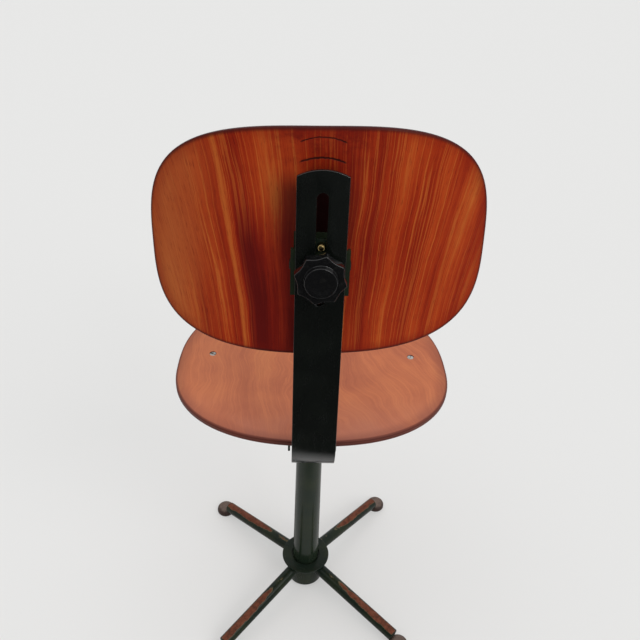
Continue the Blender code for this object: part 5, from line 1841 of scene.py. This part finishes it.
@dataclass
class BackBoard(BoardShell):
    """The curved backrest on its tilted hinge."""

    tilt: float = math.radians(9.0)
    hinge_to_board: float = 0.011
    curve_radius: float = 0.420
    half_arc: float = 0.203
    widest: float = 0.0095
    up: float = 0.1380
    down: float = 0.129
    up_power: float = 2.95
    down_power: float = 3.2
    roll: float = math.radians(1.3)  # the board sits a little crooked on its hinge plate
    screw_side: float = 0.017
    screw_rise: float = 0.023
    recess: float = 0.0006
    plate_thickness: float = 0.0025
    hinge: Vector = field(init=False)

    def __post_init__(self) -> None:
        """Takes the hinge's place from the record."""
        joint = next(joint for joint in frame["joints"] if joint["name"] == "backrest_tilt")
        self.hinge = Vector(joint["pos_m"])

    def outline(self, angle: float) -> tuple[float, float]:
        """A point of the flat outline, measured from its widest line."""
        upper = math.sin(angle) > 0.0
        length, power = (self.up, self.up_power) if upper else (self.down, self.down_power)
        across, along = rounded_quarter(angle, self.half_arc, length, power)
        level, slope = math.cos(self.roll), math.sin(self.roll)
        return across * level + along * slope, along * level - across * slope

    def point(self, across: float, along: float, depth: float) -> Vector:
        """A point of the moulded backrest."""
        angle = across / self.curve_radius
        radius = self.curve_radius - depth
        y = -self.hinge_to_board - self.curve_radius + radius * math.cos(angle)
        local = Vector((radius * math.sin(angle), y, self.widest + along))
        return self.hinge + Matrix.Rotation(self.tilt, 3, "X") @ local

    def spots(self) -> list[ScrewSpot]:
        """Where the four hinge screws enter the sitter's face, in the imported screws' order."""
        found = []
        for up in (self.screw_rise, -self.screw_rise):
            for across in (self.screw_side, -self.screw_side):
                face = self.point(across, up - self.widest, self.thickness - self.recess)
                inner = self.point(across, up - self.widest, 0.0)
                found.append(ScrewSpot(face, (face - inner).normalized()))
        return found

    def build(self, screws: SlottedScrews) -> None:
        """Builds the backrest and its four screws.

        Args:
            screws: the screws' maker.
        """
        board = self.shell("backrest_shell")
        spots = self.spots()
        cut_away(board, screws.bores(spots, self.thickness * 2))
        Fitting("backrest", Slot.BACK, ("backrest_board",)).settle(board, self.finishes.back)
        length = self.thickness - self.recess + GAP + self.plate_thickness
        row = screws.set_row("hinge_screws", spots, length, 5)
        stands_for = tuple(f"hinge_screw_{number}" for number in range(1, 5))
        Fitting("backrest", Slot.STEEL, stands_for).settle(row, self.finishes.steel)


@dataclass
class StarKnob:
    """A moulded star knob with eight points, a raised round boss and a turned neck."""

    finishes: Finishes
    rim_tree: Grower
    node: str
    body: str
    direction: Point
    spin: float = 0.0
    shorter: float = 0.0
    radius: float = 0.0275
    lobes: float = 8.0
    lobe_depth: float = 0.0041
    neck_radius: float = 0.0150
    neck_length: float = 0.0085
    star: float = 0.0145
    boss_radius: float = 0.0180
    boss_height: float = 0.0064
    bore: float = 0.0073
    bore_depth: float = 0.018
    joint_reach: float = 0.0114  # from the neck's end to the joint's place

    def build(self) -> None:
        """Builds the knob."""
        joint = next(joint for joint in frame["joints"] if joint["name"] == f"{self.node}_turn")
        neck = self.neck_length - self.shorter
        star_top = neck + self.star
        top = star_top + self.boss_height
        section = [
            (0.0, self.bore_depth, 0),
            (self.bore, self.bore_depth, 0),
            (self.bore, 0.0, 0.0004),
            (self.neck_radius, 0.0, 0.0008),
            (self.neck_radius - 0.001, neck, 0.0012),
            (self.radius, neck, 0.0028),
            (self.radius, star_top, 0.0016),
            (self.boss_radius, star_top, 0.0010),
            (self.boss_radius - 0.0006, top, 0.0011),
            (self.boss_radius * 0.72, top, 0.002),
            (self.boss_radius * 0.55, top - 0.0009, 0.002),
            (0.0, top - 0.0011, 0),
        ]
        knob = turned(f"{self.node}_star", filleted(section, 5), 192)
        knob = self.rim_tree.grow(
            knob,
            Lobes=self.lobes,
            Depth=self.lobe_depth,
            Softness=0.012,
            Inner=self.boss_radius + 0.0012,
            Outer=self.radius,
            Finish=self.finishes.bakelite,
        )
        start = Vector(joint["pos_m"]) - Vector(self.direction) * self.joint_reach
        placed(knob, facing(start, self.direction, self.spin))
        knob.data.shade_smooth()
        knob.data.set_sharp_from_angle(angle=math.radians(50.0))
        Fitting(self.body, Slot.BAKELITE, (self.node,)).settle(knob, self.finishes.bakelite)


@dataclass
class Stud:
    """The small brass guide stud with its round dome."""

    finishes: Finishes
    radius: float = 0.0042
    neck: float = 0.0025
    plate: float = 0.0030
    length: float = 0.0123
    behind_hinge: float = 0.0092
    above_hinge: float = 0.028

    def build(self) -> None:
        """Builds the stud on the leaning bracket."""
        joint = next(joint for joint in frame["joints"] if joint["name"] == "backrest_tilt")
        upright = Vector(ARM_OUTWARD).cross(Vector((-1.0, 0.0, 0.0)))
        start = Vector(joint["pos_m"]) + Vector(ARM_OUTWARD) * self.behind_hinge + upright * self.above_hinge
        section = [
            (0.0, 0.0, 0),
            (self.neck, 0.0, 0),
            (self.neck, self.plate + GAP, 0),
            (self.radius, self.plate + GAP, 0),
            (self.radius, self.length, 0.0029),
            (0.0, self.length, 0),
        ]
        stud = turned("guide_stud_dome", filleted(section, 10), 64)
        placed(stud, facing(start, ARM_OUTWARD))
        Fitting("bracket", Slot.BRASS, ("guide_stud",)).settle(stud, self.finishes.brass)


@dataclass(frozen=True)
class RoundedPlate:
    """A packed plate, bar or ring that keeps its shape and gets rounded edges."""

    node: str
    slot: Slot
    width: float
    steps: int = 2

    def build(self, finishes: Finishes) -> None:
        """Builds the rounded copy.

        Args:
            finishes: the chair's finishes.
        """
        piece = softened(self.node, self.width, self.steps)
        Fitting(body_of_node(self.node), self.slot, (self.node,)).settle(piece, finishes.by_slot[self.slot])


ROUNDED_PLATES = (
    RoundedPlate("back_arm", Slot.BLACK, 0.0009, 3),
    RoundedPlate("back_bracket", Slot.GREEN, 0.0006),
    RoundedPlate("seat_channel", Slot.GREEN, 0.0007),
    RoundedPlate("crossbar", Slot.GREEN, 0.0007),
    RoundedPlate("hinge_plate", Slot.GREEN, 0.0005),
    RoundedPlate("front_packer", Slot.BEECH, 0.0008),
    RoundedPlate("rear_packer", Slot.BEECH, 0.0008),
    RoundedPlate("height_ring", Slot.STEEL, 0.0004),
    RoundedPlate("swivel_socket", Slot.GREEN, 0.0006),
    RoundedPlate("depth_washer", Slot.STEEL, 0.0004),
    RoundedPlate("clamp_washer", Slot.STEEL, 0.0004),
)


# The studio


@dataclass
class Studio:
    """A pale floor, soft light and the camera."""

    eye: Point = (0.0244, 0.8155, 1.1574)
    pitch: float = math.radians(35.485)  # downwards
    roll: float = math.radians(2.472)
    yaw: float = math.radians(2.268)
    lens: float = 40.525
    floor_half: float = 9.0
    floor_tone: Colour = (0.745, 0.738, 0.73)
    backdrop: Colour = (0.79, 0.79, 0.775)
    plain_share: float = 0.45  # part of the floor's look that no shadow reaches
    dark_start: float = 0.26  # behind the chair, where the mirrored floor gets darker
    dark_end: float = 0.60

    def build_camera(self) -> None:
        """Sets the camera where the photograph was taken."""
        forward = Vector(
            (
                -math.sin(self.yaw) * math.cos(self.pitch),
                -math.cos(self.yaw) * math.cos(self.pitch),
                -math.sin(self.pitch),
            )
        )
        level = Vector((-math.cos(self.yaw), math.sin(self.yaw), 0.0))
        upright = level.cross(forward)
        right = level * math.cos(self.roll) + upright * math.sin(self.roll)
        up = upright * math.cos(self.roll) - level * math.sin(self.roll)
        data = bpy.data.cameras.new("camera")
        data.lens = self.lens
        data.sensor_width = 36.0
        data.clip_end = 60.0
        camera = bpy.data.objects.new("camera", data)
        turn = Matrix((right, up, -forward)).transposed().to_4x4()
        camera.matrix_world = Matrix.Translation(self.eye) @ turn
        bpy.context.scene.collection.objects.link(camera)
        bpy.context.scene.camera = camera

    def build_floor(self) -> None:
        """Lays the pale floor. Seen in glossy surfaces, its part behind the chair falls into shade."""
        bm = bmesh.new()
        bmesh.ops.create_grid(bm, x_segments=1, y_segments=1, size=self.floor_half)
        mesh = bpy.data.meshes.new("floor")
        bm.to_mesh(mesh)
        bm.free()
        floor = linked("floor", mesh)
        recipe = Recipe("pale_floor", 0.9)
        recipe.shader.inputs["Specular IOR Level"].default_value = 0.0
        path = recipe.node("ShaderNodeLightPath")
        shade = recipe.span(recipe.coordinate(Axis.Y), self.dark_start, self.dark_end)
        mirrored = recipe.math("MULTIPLY", shade, path.outputs["Is Glossy Ray"])
        seen = path.outputs["Is Camera Ray"]
        lit = tuple((1.0 - self.plain_share) * channel for channel in self.floor_tone)
        tone = recipe.mix(seen, recipe.mix(mirrored, self.floor_tone, (0.03, 0.03, 0.03)), lit)
        recipe.shader.inputs["Emission Color"].default_value = (*self.backdrop, 1.0)
        glow = recipe.math("MULTIPLY", seen, self.plain_share)
        recipe.feed(recipe.shader.inputs["Emission Strength"], glow)
        mesh.materials.append(recipe.finished(tone))

    def build_world(self) -> None:
        """An even pale dome, dimmer behind the chair and overhead, and plain behind the picture."""
        world = bpy.data.worlds.new("studio")
        world.use_nodes = True
        tree = world.node_tree
        tree.nodes.clear()
        split = tree.nodes.new("ShaderNodeSeparateXYZ")
        tree.links.new(tree.nodes.new("ShaderNodeTexCoord").outputs["Generated"], split.inputs[0])
        gradient = tree.nodes.new("ShaderNodeMapRange")
        gradient.interpolation_type = "SMOOTHSTEP"
        tree.links.new(split.outputs[1], gradient.inputs["Value"])
        for label, value in (("From Min", -0.6), ("From Max", 0.7), ("To Min", 0.85), ("To Max", 0.5)):
            gradient.inputs[label].default_value = value
        rear = tree.nodes.new("ShaderNodeMapRange")
        rear.interpolation_type = "SMOOTHSTEP"
        tree.links.new(split.outputs[1], rear.inputs["Value"])
        for label, value in (("From Min", 0.0), ("From Max", 0.55), ("To Min", 1.0), ("To Max", 0.12)):
            rear.inputs[label].default_value = value
        path = tree.nodes.new("ShaderNodeLightPath")
        mirrored = tree.nodes.new("ShaderNodeMix")
        tree.links.new(path.outputs["Is Glossy Ray"], mirrored.inputs["Factor"])
        mirrored.inputs["A"].default_value = 1.0
        tree.links.new(rear.outputs[0], mirrored.inputs["B"])
        strength = tree.nodes.new("ShaderNodeMath")
        strength.operation = "MULTIPLY"
        tree.links.new(gradient.outputs[0], strength.inputs[0])
        tree.links.new(mirrored.outputs["Result"], strength.inputs[1])
        dome = tree.nodes.new("ShaderNodeBackground")
        dome.inputs["Color"].default_value = (0.97, 0.985, 1.0, 1.0)
        tree.links.new(strength.outputs[0], dome.inputs["Strength"])
        plain = tree.nodes.new("ShaderNodeBackground")
        plain.inputs["Color"].default_value = (*self.backdrop, 1.0)
        choice = tree.nodes.new("ShaderNodeMixShader")
        tree.links.new(path.outputs["Is Camera Ray"], choice.inputs[0])
        tree.links.new(dome.outputs[0], choice.inputs[1])
        tree.links.new(plain.outputs[0], choice.inputs[2])
        tree.links.new(choice.outputs[0], tree.nodes.new("ShaderNodeOutputWorld").inputs[0])
        bpy.context.scene.world = world

    def build_sky_light(self, name: str, source: Point, spread: float, strength: float) -> None:
        """Sets one distant soft light, which falls evenly on the whole floor.

        Args:
            name: the light's name.
            source: the direction that it comes from.
            spread: its angle across, in degrees.
            strength: its irradiance.
        """
        data = bpy.data.lights.new(name, "SUN")
        data.angle = math.radians(spread)
        data.energy = strength
        light = bpy.data.objects.new(name, data)
        light.matrix_world = Vector(source).to_track_quat("Z", "Y").to_matrix().to_4x4()
        bpy.context.scene.collection.objects.link(light)

    def build(self) -> None:
        """Builds the studio."""
        self.build_camera()
        self.build_floor()
        self.build_world()
        self.build_sky_light("window", (-0.75, 0.75, 0.8), 35.0, 0.9)
        self.build_sky_light("ceiling", (0.1, 0.1, 1.0), 70.0, 0.75)
        self.build_sky_light("glint", (-0.35, 0.8, 0.62), 7.0, 0.10)
        bpy.context.scene.view_settings.view_transform = "Standard"


def main() -> None:
    """Builds the chair's pieces in order, and then the studio."""
    logging.basicConfig(level=logging.INFO, format="%(name)s: %(message)s")
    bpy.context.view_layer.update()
    kept = set(frame["nodes"].values()) | set(frame["bodies"].values())
    for left_over in [obj for obj in bpy.data.objects if obj not in kept]:
        bpy.data.objects.remove(left_over)

    hinge = next(joint for joint in frame["joints"] if joint["name"] == "backrest_tilt")
    finishes = Finishes(hinge["pos_m"][2])
    finishes.dress_nodes()
    bead_tree, rim_tree, screw_tree = weld_bead(), lobed_rim(), screw_row()
    Base(finishes, bead_tree).build()
    HeightScrew(finishes, threaded_rod()).build()
    SeatBoard(finishes, 0.010, 6).build(SlottedScrews(finishes, screw_tree, 0.0025, 0.0048, 0.0026))
    BackBoard(finishes, 0.009, 5).build(SlottedScrews(finishes, screw_tree, 0.0022, 0.0048, 0.0024))
    StarKnob(
        finishes, rim_tree, "upper_knob", "upper_knob", ARM_OUTWARD, math.radians(33.3), radius=0.0294
    ).build()
    StarKnob(finishes, rim_tree, "lower_knob", "lower_knob", (0.0, 0.0, -1.0), shorter=0.006).build()
    Stud(finishes).build()
    for plate in ROUNDED_PLATES:
        plate.build(finishes)
    Studio().build()


if __name__ == "__main__":
    main()
